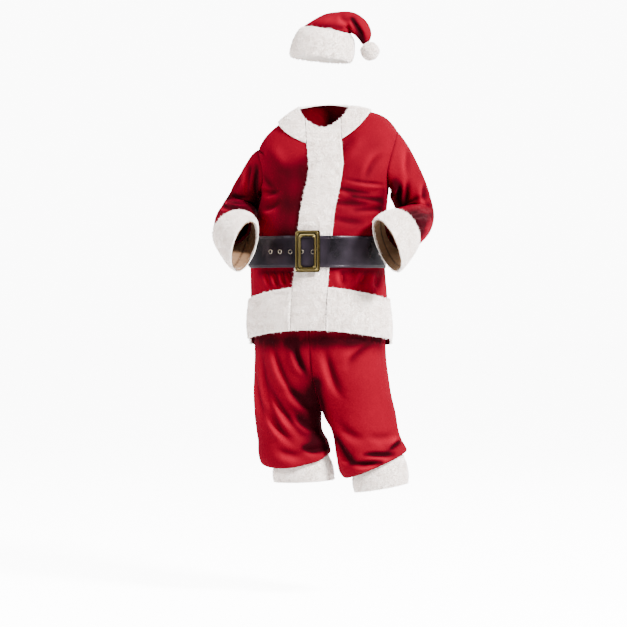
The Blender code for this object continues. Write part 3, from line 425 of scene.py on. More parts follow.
def velour_panel(node, name, creases, strokes, levels=3, wave=PANEL_WAVE, clear=None, tuck_below=None,
                 seam=SEAM_ALLOWANCE):
    """A velour sheet on a node's outer face, creased, dipped at its seams and given its thickness."""
    piece = linked(name, wall_mesh(node, outer_only=True))
    subdivided(piece, levels)
    places, normals = read_points(piece)
    height = crease_heights(places, normals, creases) + cloth_waves(places, *wave)
    if clear is not None:
        height = np.where(height > 0, height * clear(places), height)
    away = away_from_edges(piece, places)
    height *= np.clip(away / CALM_EDGE, 0.0, 1.0)
    height -= SEAM_DIP * np.exp(-((away / SEAM_REACH) ** 2))
    if tuck_below is not None:
        from_cuff = away_from_edges(piece, places, level_below=tuck_below)
        turned_in = 1 - np.clip(from_cuff / TUCK_ROUND, 0.0, 1.0)
        up_the_leg = np.clip(from_cuff / BLOUSING_REACH, 0.0, 1.0)
        height -= TUCK_ROUND * TUCK_SHARE * (1 - np.sqrt(1 - turned_in * turned_in))
        height += BLOUSING * np.sin(math.pi * up_the_leg) * np.clip(away / BLOUSING_CALM, 0, 1)
    # Painted shade in troughs, on slopes turned from the light, along the given strokes and at the seams;
    # painted highlight on ridges.
    dark, bright = paint_shade_and_highlight(places, normals, creases, strokes)
    dark = np.maximum(dark, SEAM_SHADE * np.exp(-((away / SEAM_SHADE_REACH) ** 2)))
    mark_points(piece, "painted_shade", dark)
    mark_points(piece, "painted_highlight", bright)
    write_points(piece, places + normals * height[:, None])
    tuck_edges_under(piece, normals, seam)
    apply_modifier(piece, "DECIMATE", ratio=FACES_KEPT)
    apply_modifier(piece, "SOLIDIFY", thickness=VELOUR_WALL, offset=-1.0, use_even_offset=False,
                   material_offset=1)
    piece.data.materials.append(velour)
    piece.data.materials.append(velour_back)
    smooth(piece)
    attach(piece, "root")
    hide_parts(node)
    return piece


def free_of_belt(places):
    """0 under the belt and 1 clear of it."""
    return np.clip((np.abs(places[:, 2] - BELT_MIDDLE) - BELT_HALF) / BELT_BLEND, 0.0, 1.0)


def math_step(tree, operation, *values, clamp=False):
    """What a Math node makes of the given numbers and sockets."""
    node = tree.nodes.new("ShaderNodeMath")
    node.operation, node.use_clamp = operation, clamp
    for socket, value in zip(node.inputs, values):
        feed(tree, socket, value)
    return node.outputs[0]


def mixed(tree, share, first, second):
    """The colour between two others at the given share."""
    node = tree.nodes.new("ShaderNodeMix")
    node.data_type = "RGBA"
    set_inputs(tree, node, Factor=share, A=first, B=second)
    return node.outputs["Result"]


def new_material(name):
    """A new material, with its node tree and its shader."""
    material = bpy.data.materials.new(name)
    material.use_nodes = True
    return material, material.node_tree, material.node_tree.nodes["Principled BSDF"]


def brushed_nap_group():
    """Shader group that the cloths share: brushed patches of nap, the fibre between them, and wrinkles."""
    group = bpy.data.node_groups.new("brushed_nap", "ShaderNodeTree")
    for name, default in (("Patch scale", 14.0), ("Fibre scale", 900.0), ("Patch contrast", 1.0)):
        socket = group.interface.new_socket(name=name, in_out="INPUT", socket_type="NodeSocketFloat")
        socket.default_value = default
    for name in ("Patches", "Fibre", "Wrinkles"):
        group.interface.new_socket(name=name, in_out="OUTPUT", socket_type="NodeSocketFloat")
    given, result = group.nodes.new("NodeGroupInput").outputs, group.nodes.new("NodeGroupOutput")
    place = new_node(group, "TexCoord").outputs["Object"]
    broad = new_node(group, "TexNoise", Vector=place, Scale=given["Patch scale"], Detail=5.0, Roughness=0.62,
                     Distortion=0.6)
    fine = new_node(group, "TexNoise", Vector=place, Scale=given["Fibre scale"], Detail=2.0)
    folds = new_node(group, "TexNoise", Vector=place, Scale=13.0, Detail=3.0, Roughness=0.45, Distortion=1.1)
    centred = math_step(group, "SUBTRACT", broad.outputs["Fac"], 0.5)
    patches = math_step(group, "MULTIPLY_ADD", centred, given["Patch contrast"], 0.5, clamp=True)
    set_inputs(group, result, Patches=patches, Fibre=fine.outputs["Fac"], Wrinkles=folds.outputs["Fac"])
    return group


brushed_nap = brushed_nap_group()


def cloth_material(name, dark, light, rough, sheen, sheen_tint, sheen_rough, patch, fibre, contrast, bump,
                   slack=0.0, gloss=0.2):
    """A cloth whose colour drifts between two shades as its nap lies, with fine wrinkles if it is slack."""
    material, tree, shader = new_material(name)
    nap = new_node(tree, "Group")
    nap.node_tree = brushed_nap
    set_inputs(tree, nap, Patch_scale=patch, Fibre_scale=fibre, Patch_contrast=contrast)
    rise = new_node(tree, "Bump", Strength=0.6, Distance=bump, Height=nap.outputs["Fibre"])
    if slack:
        soft = new_node(tree, "Bump", Strength=1.0, Distance=slack, Height=nap.outputs["Wrinkles"])
        set_inputs(tree, rise, Normal=soft.outputs["Normal"])
    set_inputs(tree, shader, Base_Color=mixed(tree, nap.outputs["Patches"], (*dark, 1.0), (*light, 1.0)),
               Normal=rise.outputs["Normal"], Roughness=rough, Sheen_Weight=sheen,
               Sheen_Tint=(*sheen_tint, 1.0), Sheen_Roughness=sheen_rough, Specular_IOR_Level=gloss)
    return material


def coloured_where(material, mark, colour):
    """Brings the material's colour towards another, as far as the mark on the piece's points says."""
    tree, shader = material.node_tree, material.node_tree.nodes["Principled BSDF"]
    kept = new_node(tree, "Attribute")
    kept.attribute_name = mark
    under = shader.inputs["Base Color"].links[0].from_socket
    set_inputs(tree, shader, Base_Color=mixed(tree, kept.outputs["Fac"], under, (*colour, 1.0)))


velour = cloth_material("red_velour", (0.086, 0.0000, 0.0042), (0.128, 0.0000, 0.0064), 0.80, 0.16,
                        (1.0, 0.0, 0.08), 0.30, 9.0, 1100.0, 1.0, 0.0004, slack=0.003, gloss=0.02)
# The velour is brought up to a painted highlight, then down to a painted shade, as the panel's marks say.
coloured_where(velour, "painted_highlight", (0.235, 0.0000, 0.0120))
coloured_where(velour, "painted_shade", (0.012, 0.0000, 0.0010))
velour_back = cloth_material("velour_knit_back", (0.09, 0.0004, 0.002), (0.16, 0.0008, 0.004), 0.9, 0.1,
                             (1.0, 0.1, 0.1), 0.5, 30.0, 700.0, 1.0, 0.0003)

for node, width, length, area, hangs_from in (
        ("jacket_front_left", 0.34, 0.80, 0.215, ["jacket_back"]),
        ("jacket_front_right", 0.34, 0.80, 0.217, ["jacket_back"]),
        ("jacket_back", 0.62, 0.80, 0.413, ["collar"])):
    sheet = velour_panel(node, node + "_velour", JACKET_CREASES, JACKET_PAINTED_SHADE, clear=free_of_belt)

# ---- Sleeves ----
# Each sleeve is one tube of velour, set into the armhole and gathered a little at its cuff. The bent elbow
# crushes it into short cross folds, and the upper arm hangs in longer ones.
SLEEVE_WAVE = (0.060, 0.0012)
ARMHOLE_ALLOWANCE = 0.008

SLEEVE_CREASES = {"front": (
    (0.244, -0.236, 0.219, -0.308, -0.0095, 0.009, 0.003),
    (0.264, -0.222, 0.253, -0.319, -0.0080, 0.009, 0.004),
    (0.245, -0.318, 0.312, -0.272, -0.0085, 0.010, 0.004),
    (0.250, -0.346, 0.328, -0.312, -0.0075, 0.010, 0.005),
    (0.262, -0.358, 0.340, -0.332, -0.0070, 0.007, 0.004),
    (0.290, -0.376, 0.342, -0.366, -0.0060, 0.007, 0.004),
    (0.318, -0.222, 0.312, -0.314, -0.0060, 0.008, 0.004),
    (0.262, -0.115, 0.268, -0.230, -0.0045, 0.009, 0.006),
    (-0.235, -0.172, -0.234, -0.270, -0.0085, 0.009, 0.003),
    (-0.210, -0.185, -0.212, -0.280, -0.0090, 0.009, 0.003),
    (-0.260, -0.195, -0.296, -0.270, -0.0060, 0.011, 0.005),
    (-0.318, -0.278, -0.222, -0.304, -0.0085, 0.007, 0.005),
    (-0.322, -0.300, -0.226, -0.322, -0.0085, 0.007, 0.005),
    (-0.312, -0.256, -0.238, -0.284, -0.0070, 0.007, 0.006),
), "back": (
    (0.240, -0.220, 0.292, -0.246, 0.0070, 0.012, 0.004),
    (0.245, -0.262, 0.320, -0.276, 0.0080, 0.012, 0.004),
    (0.250, -0.310, 0.330, -0.318, 0.0070, 0.012, 0.004),
    (-0.225, -0.225, -0.285, -0.240, 0.0070, 0.012, 0.004),
    (-0.240, -0.262, -0.315, -0.268, 0.0080, 0.012, 0.004),
    (-0.250, -0.300, -0.325, -0.306, 0.0070, 0.012, 0.004),
)}
# Painted shade: dark strokes along the elbow's folds, and on top of each forearm the painted shadow of its
# upper arm.
SLEEVE_PAINTED_SHADE = {"front": (
    (0.226, -0.236, 0.245, -0.322, 0.015, 0.95),
    (0.309, -0.366, 0.313, -0.416, 0.016, 0.60),
    (0.262, -0.334, 0.322, -0.300, 0.008, 0.40),
    (-0.285, -0.290, -0.224, -0.308, 0.018, 0.85),
    (0.270, -0.345, 0.335, -0.345, 0.024, 0.45),
    (0.300, -0.375, 0.328, -0.440, 0.040, 0.42),
    (0.300, -0.180, 0.325, -0.300, 0.026, 0.25),
    (0.262, -0.352, 0.334, -0.334, 0.008, 0.55),
    (0.318, -0.385, 0.330, -0.470, 0.016, 0.60),
    (-0.270, -0.312, -0.224, -0.326, 0.014, 0.60),
    (-0.325, -0.290, -0.300, -0.330, 0.020, 0.40),
    (-0.210, -0.185, -0.215, -0.285, 0.013, 0.75),
    (-0.236, -0.185, -0.236, -0.270, 0.008, 0.50),
), "top": (
    # painted shadow of the upper arm on the forearm
    (-0.326, -0.276, -0.222, -0.318, 0.034, 0.80),
    (0.245, -0.335, 0.330, -0.345, 0.040, 0.55),
), "back": (
    (0.230, -0.240, 0.250, -0.330, 0.020, 0.60),
    (-0.225, -0.230, -0.245, -0.320, 0.020, 0.60),
)}
for side, area in (("left", 0.167), ("right", 0.150)):
    sheet = velour_panel("sleeve_" + side, "sleeve_%s_velour" % side, SLEEVE_CREASES, SLEEVE_PAINTED_SHADE,
                         wave=SLEEVE_WAVE, seam=ARMHOLE_ALLOWANCE)

# ---- Trousers ----
# Four velour panels and a plain waistband inside the jacket. The legs are cut wide, drag in long slanting
# folds towards the crotch and blouse over the plush cuffs that they are sewn to.
JACKET_HEM, HEM_BLEND = -0.70, 0.05
CUFF_SEAMS_BELOW = -1.0
WAISTBAND_WAVE = (0.08, 0.0)            # it lies flat

TROUSER_CREASES = {"front": (
    (-0.140, -0.730, -0.078, -0.895, -0.0080, 0.009, 0.010),
    (-0.182, -0.740, -0.122, -1.020, -0.0075, 0.010, 0.012),
    (-0.206, -0.780, -0.164, -1.010, -0.0060, 0.010, 0.008),
    (-0.074, -0.722, -0.037, -0.831, -0.0090, 0.009, 0.004),
    (-0.160, -0.842, -0.052, -1.034, -0.0085, 0.010, 0.014),
    (-0.178, -0.910, -0.082, -1.052, -0.0075, 0.010, 0.012),
    (-0.105, -0.868, -0.015, -0.935, -0.0085, 0.012, 0.008),
    (-0.092, -0.954, -0.012, -0.998, -0.0080, 0.012, 0.006),
    (-0.062, -1.058, 0.012, -1.054, -0.0100, 0.011, 0.006),
    (-0.140, -1.058, -0.059, -1.083, -0.0060, 0.012, 0.008),
    (0.018, -0.745, 0.079, -0.905, -0.0085, 0.013, 0.008),
    (0.152, -0.732, 0.086, -0.814, -0.0085, 0.013, 0.004),
    (0.040, -1.026, 0.107, -1.100, -0.0105, 0.013, 0.010),
    (0.096, -1.100, 0.195, -1.098, -0.0100, 0.009, 0.006),
    (0.130, -1.073, 0.230, -1.074, -0.0090, 0.009, 0.005),
    (0.238, -1.038, 0.205, -1.064, -0.0080, 0.009, 0.003),
    (0.038, -0.968, 0.147, -1.024, -0.0055, 0.014, 0.012),
    (0.140, -1.024, 0.225, -1.010, -0.0045, 0.013, 0.006),
), "back": (
    (0.205, -0.780, 0.040, -0.905, -0.0059, 0.021, 0.010),
    (0.210, -0.880, 0.060, -0.975, -0.0055, 0.021, 0.010),
    (-0.205, -0.780, -0.045, -0.905, -0.0059, 0.021, -0.010),
    (-0.210, -0.880, -0.060, -0.975, -0.0055, 0.021, -0.010),
    (0.215, -0.970, 0.080, -1.030, -0.0055, 0.019, 0.008),
    (0.240, -1.050, 0.100, -1.085, -0.0090, 0.011, 0.008),
    (-0.200, -0.965, -0.060, -1.015, -0.0055, 0.019, -0.008),
    (-0.190, -1.035, -0.040, -1.060, -0.0090, 0.011, -0.008),
)}
# Painted shade: the painted shadow of the jacket's hem across the legs, the inner thighs in the other leg's
# shadow, and dark strokes along the folds above the cuffs.
TROUSER_PAINTED_SHADE = {"front": (
    (-0.026, -0.880, -0.022, -1.045, 0.032, 0.95),
    (-0.060, -0.885, -0.056, -0.985, 0.032, 0.50),
    (-0.008, -0.850, -0.004, -1.030, 0.014, 0.95),
    (-0.055, -1.057, 0.010, -1.060, 0.015, 0.95),
    (0.043, -1.030, 0.100, -1.096, 0.013, 0.85),
    (0.100, -1.100, 0.190, -1.098, 0.007, 0.60),
    (0.140, -1.073, 0.225, -1.074, 0.007, 0.60),
    (0.236, -1.040, 0.208, -1.062, 0.009, 0.70),
    # painted shadow of the jacket's hem
    (-0.230, -0.722, 0.230, -0.722, 0.026, 1.00),
    (-0.076, -0.744, -0.037, -0.828, 0.017, 0.65),
), "back": (
    # painted shadow of the jacket's hem
    (-0.230, -0.722, 0.230, -0.722, 0.026, 0.90),
    (0.020, -0.860, 0.030, -1.040, 0.030, 0.70),
    (-0.030, -0.860, -0.030, -1.040, 0.030, 0.70),
)}


def free_of_jacket(places):
    """0 inside the jacket and 1 below its hem."""
    return np.clip((JACKET_HEM - places[:, 2]) / HEM_BLEND, 0.0, 1.0)


for node, area in (("trousers_front_left", 0.236), ("trousers_front_right", 0.224),
                   ("trousers_back_left", 0.212), ("trousers_back_right", 0.203)):
    sheet = velour_panel(node, node + "_velour", TROUSER_CREASES, TROUSER_PAINTED_SHADE, clear=free_of_jacket,
                         tuck_below=CUFF_SEAMS_BELOW)
sheet = velour_panel("trousers_waistband", "waistband_velour", {}, {}, levels=2, wave=WAISTBAND_WAVE,
                     clear=free_of_jacket)

# ---- Hat crown ----
# A cone of the same velour, gathered round the head inside the plush band. It topples to the wearer's left
# with one deep fold near its tip, where the pompom is sewn on.
CROWN_WAVE = (0.045, 0.0010)

CROWN_CREASES = {"front": (
    (0.091, 0.278, 0.127, 0.206, -0.0075, 0.007, 0.002),
    (0.052, 0.285, 0.088, 0.258, -0.0045, 0.010, 0.003),
    (-0.030, 0.262, 0.040, 0.262, 0.0035, 0.011, 0.004),
), "back": (
    (0.088, 0.262, 0.116, 0.208, -0.0060, 0.008, 0.002),
    (0.000, 0.284, 0.040, 0.252, 0.0045, 0.011, 0.003),
    (0.050, 0.290, 0.090, 0.258, -0.0045, 0.011, 0.003),
)}
# Painted shade along the crown's deep fold near its tip, and across its front.
CROWN_PAINTED_SHADE = {"front": (
    (0.092, 0.270, 0.122, 0.206, 0.010, 0.95),
    (0.086, 0.240, 0.108, 0.205, 0.008, 0.45),
    (-0.040, 0.248, 0.060, 0.240, 0.008, 0.55),
), "back": (
    (0.084, 0.262, 0.108, 0.205, 0.013, 0.80),
)}

sheet = velour_panel("hat_crown", "hat_crown_velour", CROWN_CREASES, CROWN_PAINTED_SHADE, wave=CROWN_WAVE)

# ---- Plush trims ----
# Off-white plush with a short curly pile, sewn on as collar, front strip, hem strip, cuffs and hat band.
# Each is a backing a few millimetres thick, with its pile on the outside in small leaning tufts that bunch
# together.
PILE_LENGTH, PILE_SINK = 0.0068, 0.0045  # a tuft, and how far the backing is drawn in to make room for it
TUFT_RADIUS, TUFT_ROOT = 0.0010, 0.0006  # its half width, and how deep it starts in the backing
TUFTS_PER_AREA = 240000.0
BUNCH_SIZE, CURL_SIZE, CURL_SHIFT = 0.016, 0.006, 0.3
BUNCH_LEAN, CURL_LEAN, STRAY_LEAN = 0.34, 0.22, 0.30
MEAN_REACH, BUNCH_REACH, STRAY_REACH = 0.82, 0.16, 0.10   # shares of a tuft's length
THINNEST, THICKENING = 0.8, 0.5         # a tuft's width, from the first to both together
ACROSS_HINT = np.array((0.37, 0.61, 0.70))   # no tuft points this way
BACKING_LUMPS = 0.0007
TRIM_LEVELS = 2
ROLLED = math.radians(60.0)             # the hat band's pile goes on round its lower edge


def bunching(places, size):
    """Direction in which the pile is pushed at each place, and how high it stands."""
    x, y, z = places[:, 0] / size, places[:, 1] / size, places[:, 2] / size
    push = np.stack((np.sin(y * 2.3 + 1.7 * np.sin(z * 1.3)) + np.sin(z * 3.1 + 0.5),
                     np.sin(z * 2.7 + 1.4 * np.sin(x * 1.9)) + np.sin(x * 2.9 + 1.9),
                     np.sin(x * 2.5 + 1.6 * np.sin(y * 1.6)) + np.sin(y * 3.3 + 4.0)), axis=1)
    return push, np.sin(x * 1.9 + 2 * np.sin(y * 1.2)) * np.sin(z * 2.2 + 1.5 * np.sin(x * 1.4))


def pile_on(base, name, weights, seed, density=TUFTS_PER_AREA):
    """Leaning tufts of pile all over the outer side of a backing, as one mesh of closed three-sided locks."""
    draw = np.random.default_rng(seed)
    places, normals = read_points(base)
    base.data.calc_loop_triangles()
    corners = np.empty(len(base.data.loop_triangles) * 3, dtype=int)
    base.data.loop_triangles.foreach_get("vertices", corners)
    corners = corners.reshape(-1, 3)
    sides = places[corners]
    area = np.linalg.norm(np.cross(sides[:, 1] - sides[:, 0], sides[:, 2] - sides[:, 0]), axis=1) / 2
    area *= np.clip(weights[corners].mean(axis=1) * 2.0 - 0.5, 0.0, 1.0)
    count = int(area.sum() * density)
    chosen = corners[draw.choice(len(corners), size=count, p=area / area.sum())]
    u, v = draw.random((2, count, 1))
    u, v = np.where(u + v > 1, 1 - u, u), np.where(u + v > 1, 1 - v, v)
    root = places[chosen[:, 0]] * (1 - u - v) + places[chosen[:, 1]] * u + places[chosen[:, 2]] * v
    up = normals[chosen[:, 0]] * (1 - u - v) + normals[chosen[:, 1]] * u + normals[chosen[:, 2]] * v
    up /= np.linalg.norm(up, axis=1, keepdims=True)
    bunch, stand = bunching(root, BUNCH_SIZE)
    curl, _ = bunching(root + CURL_SHIFT, CURL_SIZE)
    lean = BUNCH_LEAN * bunch + CURL_LEAN * curl + draw.normal(0, STRAY_LEAN, (count, 3))
    lean -= up * np.sum(lean * up, axis=1, keepdims=True)
    aim = up + lean
    aim /= np.linalg.norm(aim, axis=1, keepdims=True)
    reach = PILE_LENGTH * (MEAN_REACH + BUNCH_REACH * stand + draw.normal(0, STRAY_REACH, count))[:, None]
    first = np.cross(aim, ACROSS_HINT)
    first /= np.linalg.norm(first, axis=1, keepdims=True)
    second = np.cross(aim, first)
    turn = draw.random((count, 1)) * 2 * math.pi
    wide = TUFT_RADIUS * (THINNEST + THICKENING * draw.random((count, 1)))
    ring = []
    for corner in range(3):
        angle = turn + corner * 2 * math.pi / 3
        ring.append(root - up * TUFT_ROOT + wide * (np.cos(angle) * first + np.sin(angle) * second))
    points = np.stack((*ring, root + aim * reach), axis=1).reshape(-1, 3)
    start = np.arange(count)[:, None] * 4
    lock = ((0, 1, 3), (1, 2, 3), (2, 0, 3), (2, 1, 0))
    faces = np.concatenate([start + np.array(face) for face in lock], axis=1)
    mesh = bpy.data.meshes.new(name)
    mesh.from_pydata(points.tolist(), [], faces.reshape(-1, 3).tolist())
    pile = linked(name, mesh)
    mesh.materials.append(plush_pile)
    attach(pile, "root")
    return pile


def plush_piece(node, name, seed, sharp):
    """Plush backing from a node's own wall, drawn in by the pile's height, and the pile on it."""
    piece = linked(name, wall_mesh(node, outer_only=False, sharp=sharp))
    subdivided(piece, TRIM_LEVELS)
    weights = np.empty(len(piece.data.vertices))
    piece.data.attributes["pile_side"].data.foreach_get("value", weights)
    places, normals = read_points(piece)
    lumps = BACKING_LUMPS * bunching(places, BUNCH_SIZE)[1]
    write_points(piece, places - normals * ((PILE_SINK + lumps) * weights)[:, None])
    piece.data.materials.append(plush_back)
    smooth(piece)
    pile = pile_on(piece, name + "_pile", weights, seed)
    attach(piece, "root")
    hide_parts(node)
    return piece, pile


# The backing is a little darker than the pile: partly the knit's own tone, partly painted shade between the
# tufts.
plush_back = cloth_material("plush_backing", (0.70, 0.63, 0.57), (0.92, 0.87, 0.82), 0.95, 0.2,
                            (1.0, 0.96, 0.92), 0.6, 60.0, 600.0, 1.8, 0.0008)
plush_pile = cloth_material("plush_pile", (0.84, 0.74, 0.69), (1.0, 0.935, 0.895), 0.9, 0.40,
                            (1.0, 0.97, 0.94), 0.6, 52.0, 500.0, 2.6, 0.0004)

PLUSH_PIECES = (
    # node                  flat width, length, cut area, held, carried by
    ("collar", 0.60, 0.085, 0.038, "gathered", ["jacket_back"]),
    ("front_strip", 0.110, 0.70, 0.073, "hung", ["jacket_front_left", "jacket_front_right"]),
    ("hem_strip_left", 0.30, 0.138, 0.039, "hung", ["jacket_front_left"]),
    ("hem_strip_right", 0.30, 0.138, 0.038, "hung", ["jacket_front_right"]),
    ("hem_strip_back", 0.64, 0.138, 0.086, "hung", ["jacket_back"]),
    ("sleeve_cuff_left", 0.56, 0.105, 0.053, "hung", ["sleeve_left"]),
    ("sleeve_cuff_right", 0.56, 0.115, 0.058, "hung", ["sleeve_right"]),
    ("trousers_cuff_left", 0.58, 0.095, 0.048, "hung", ["trousers_front_left"]),
    ("trousers_cuff_right", 0.58, 0.090, 0.046, "hung", ["trousers_front_right"]),
    ("hat_band", 0.64, 0.110, 0.063, "stretched", ["hat_crown"]),
)
for seed, (node, width, length, area, held, carried_by) in enumerate(PLUSH_PIECES):
    backing, pile = plush_piece(node, node + "_plush", seed, ROLLED if node == "hat_band" else SHARP)

# ---- Pompom ----
# A stuffed ball of the same plush, sewn to the tip of the crown. Its pile is denser than the trims', as it
# fans out over the round.
BALL_TUFTS_PER_AREA = 420000.0
BALL_LUMPS, BALL_LUMP_SIZE = 0.0012, 0.014
BALL_SEED, BALL_LEVELS = 40, 5

ball_low, ball_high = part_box("hat_pompom")
ball_middle = (ball_low + ball_high) / 2
ball_radius = (ball_high.x - ball_low.x) / 2 - PILE_SINK
bpy.ops.object.select_all(action="DESELECT")
bpy.ops.mesh.primitive_ico_sphere_add(subdivisions=BALL_LEVELS, radius=ball_radius, location=ball_middle)
ball = bpy.context.object
ball.name = "pompom_ball"
bpy.ops.object.transform_apply(location=True, rotation=True, scale=True)
places, normals = read_points(ball)
write_points(ball, places + normals * (BALL_LUMPS * bunching(places, BALL_LUMP_SIZE)[1])[:, None])
ball.data.materials.append(plush_back)
smooth(ball)
pile_on(ball, "pompom_pile", np.ones(len(ball.data.vertices)), BALL_SEED, density=BALL_TUFTS_PER_AREA)
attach(ball, "root")
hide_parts("hat_pompom")

# ---- Cuff linings ----
# Smooth tan satin turned in from the mouth of each sleeve cuff. It is a little slack, so that it puckers
# along the cuff, and its seam shows as a dark line round it.
LINING_PUCKER = 0.0009
LINING_SLACK, SEAM_DIP = 0.6, 1.2       # shares of that: how far it stands in, and its seam sinks
PUCKERS, FINE_PUCKERS, FINE_SHARE = 17, 41, 0.6   # how many go round the cuff
PUCKERS_START, PUCKERS_END = 5, 4       # how soon they set in at the mouth and die out inside
SEAM_AT, SEAM_WIDE = 0.30, 0.018        # shares of the lining's length, from its mouth
DIP_WIDE = 1.6 * SEAM_WIDE
LINING_LEVELS, LINING_FACES_KEPT = 3, 0.5

lining_satin = cloth_material("tan_satin", (0.100, 0.056, 0.030), (0.200, 0.116, 0.064), 0.40, 0.12,
                              (1.0, 0.9, 0.8), 0.3, 26.0, 1500.0, 1.2, 0.0001)
coloured_where(lining_satin, "seam_line", (0.030, 0.014, 0.007))

for side in ("left", "right"):
    node = "cuff_lining_" + side
    lining = linked(node + "_satin", wall_mesh(node, outer_only=False))
    subdivided(lining, LINING_LEVELS)
    places, normals = read_points(lining)
    middle = places.mean(axis=0)
    frames = np.linalg.svd(places - middle, full_matrices=False)[2]
    axis = frames[2] * np.sign(-frames[2][1])
    reach = (places - middle) @ axis
    along = (reach.max() - reach) / (reach.max() - reach.min())
    around = np.arctan2((places - middle) @ frames[1], (places - middle) @ frames[0])
    spokes = places - middle - reach[:, None] * axis
    spokes /= np.linalg.norm(spokes, axis=1, keepdims=True)
    pucker = (np.sin(around * PUCKERS + 2.0 * np.sin(around * 3))
              + FINE_SHARE * np.sin(around * FINE_PUCKERS + 3.0 * along))
    pucker *= np.clip(along * PUCKERS_START, 0, 1) * np.clip((1 - along) * PUCKERS_END, 0, 1)
    dip = np.exp(-(((along - SEAM_AT) / DIP_WIDE) ** 2))
    inward = LINING_PUCKER * (LINING_SLACK + LINING_SLACK * pucker - SEAM_DIP * dip)
    write_points(lining, places - spokes * inward[:, None])
    mark_points(lining, "seam_line", np.exp(-(((along - SEAM_AT) / SEAM_WIDE) ** 2)))
    apply_modifier(lining, "DECIMATE", ratio=LINING_FACES_KEPT)
    lining.data.materials.append(lining_satin)
    smooth(lining)
    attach(lining, "root")
    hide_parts(node)

# ---- Belt strap ----
# A wide strap of glossy black coated cloth. Its free end lies over its start, and a pressed line follows
# both edges.
LINE_FROM_EDGE, LINE_WIDE = 0.006, 0.0012
STRAP_WAVE = (0.05, 0.0005)
STRAP_LEVELS = 2

vinyl, tree, shader = new_material("black_vinyl")
place = new_node(tree, "TexCoord").outputs["Object"]
grain = new_node(tree, "TexVoronoi", Vector=place, Scale=700.0)
drift = new_node(tree, "TexNoise", Vector=place, Scale=9.0, Detail=3.0)
pressed = new_node(tree, "SeparateXYZ", Vector=place).outputs["Z"]
for operation, *value in (("SUBTRACT", BELT_MIDDLE), ("ABSOLUTE",), ("SUBTRACT", BELT_HALF - LINE_FROM_EDGE),
                          ("ABSOLUTE",), ("DIVIDE", LINE_WIDE), ("MINIMUM", 1.0)):
    pressed = math_step(tree, operation, pressed, *value)
grain_bump = new_node(tree, "Bump", Strength=0.25, Distance=0.0002, Height=grain.outputs["Distance"])
line_bump = new_node(tree, "Bump", Strength=0.9, Distance=0.0008, Height=pressed,
                     Normal=grain_bump.outputs["Normal"])
worn = new_node(tree, "MapRange", Value=drift.outputs["Fac"], From_Min=0.36, From_Max=0.66).outputs["Result"]
polish = new_node(tree, "MapRange", Value=worn, To_Min=0.26, To_Max=0.44).outputs["Result"]
set_inputs(tree, shader, Normal=line_bump.outputs["Normal"], Roughness=polish,
           Base_Color=mixed(tree, worn, (0.0008, 0.0006, 0.0010, 1.0), (0.0150, 0.0105, 0.0160, 1.0)),
           Specular_IOR_Level=0.17, Specular_Tint=(1.0, 0.88, 1.0, 1.0), Coat_Weight=0.03,
           Coat_Roughness=0.16)

strap = linked("belt_strap_vinyl", wall_mesh("belt_strap", outer_only=False))
subdivided(strap, STRAP_LEVELS)
places, normals = read_points(strap)
write_points(strap, places + normals * cloth_waves(places, *STRAP_WAVE)[:, None])
strap.data.materials.append(vinyl)
smooth(strap)
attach(strap, "root")
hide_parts("belt_strap")

# ---- Belt buckle ----
# One cast brass frame with two rounded ridges all round, aged nearly black in its hollows and rubbed bright
# on its ridges. Its side bars press on the strap, and it has no prong.
BUCKLE_WIDE, BUCKLE_HIGH, BUCKLE_DEEP = 0.0735, 0.1240, 0.0070
BUCKLE_BAR, BUCKLE_FOOT_BAR = 0.0155, 0.0130
BUCKLE_ROUND, ROUND_STEPS = 0.0048, 5
RUBBED_FROM = 0.90                      # height of a ridge above which it is rubbed bright, as a share
# heights across a bar, from its outer edge, as shares of the buckle's depth
RIDGES = (0.45, 0.70, 0.93, 1.0, 0.86, 0.60, 0.44, 0.37, 0.36, 0.40, 0.52, 0.76, 0.98, 0.90, 0.42)
HAIR = 0.000001                         # lengths below this are nothing
TOP_LAYER = 0.001                       # the solid's points this near its top show how it is turned

bpy.ops.object.select_all(action="DESELECT")
bpy.ops.mesh.primitive_plane_add(size=1.0)
buckle = bpy.context.object
buckle.name = "belt_buckle_cast"
bpy.ops.transform.resize(value=(BUCKLE_WIDE, BUCKLE_HIGH, 1.0))
bpy.ops.object.transform_apply(location=True, rotation=True, scale=True)
bpy.ops.object.mode_set(mode="EDIT")
bpy.ops.mesh.select_all(action="SELECT")
bpy.ops.mesh.extrude_region_move(TRANSFORM_OT_translate={"value": (0.0, 0.0, BUCKLE_DEEP * RIDGES[0])})
for height, following in zip(RIDGES, RIDGES[1:]):
    bpy.ops.mesh.inset(thickness=BUCKLE_BAR / (len(RIDGES) - 1), depth=(following - height) * BUCKLE_DEEP)
bpy.ops.mesh.extrude_region_move(TRANSFORM_OT_translate={"value": (0.0, 0.0, -BUCKLE_DEEP * RIDGES[-1])})
bpy.ops.mesh.delete(type="ONLY_FACE")
bpy.ops.object.mode_set(mode="OBJECT")
for face in buckle.data.polygons:
    face.select = all(abs(buckle.data.vertices[i].co.z) < HAIR for i in face.vertices)
bpy.ops.object.mode_set(mode="EDIT")
bpy.ops.mesh.delete(type="ONLY_FACE")
bpy.ops.mesh.select_non_manifold()
bpy.ops.mesh.bridge_edge_loops()
bpy.ops.object.mode_set(mode="OBJECT")
places, _ = read_points(buckle)
from_foot = places[:, 1] + BUCKLE_HIGH / 2
window_now, window_wanted = BUCKLE_HIGH - 2 * BUCKLE_BAR, BUCKLE_HIGH - BUCKLE_BAR - BUCKLE_FOOT_BAR
inside = (from_foot - BUCKLE_BAR) * window_wanted / window_now
places[:, 1] = np.where(from_foot <= BUCKLE_BAR, from_foot * BUCKLE_FOOT_BAR / BUCKLE_BAR,
                        np.where(from_foot <= BUCKLE_HIGH - BUCKLE_BAR, BUCKLE_FOOT_BAR + inside, from_foot))
places[:, 1] -= BUCKLE_HIGH / 2
write_points(buckle, places)
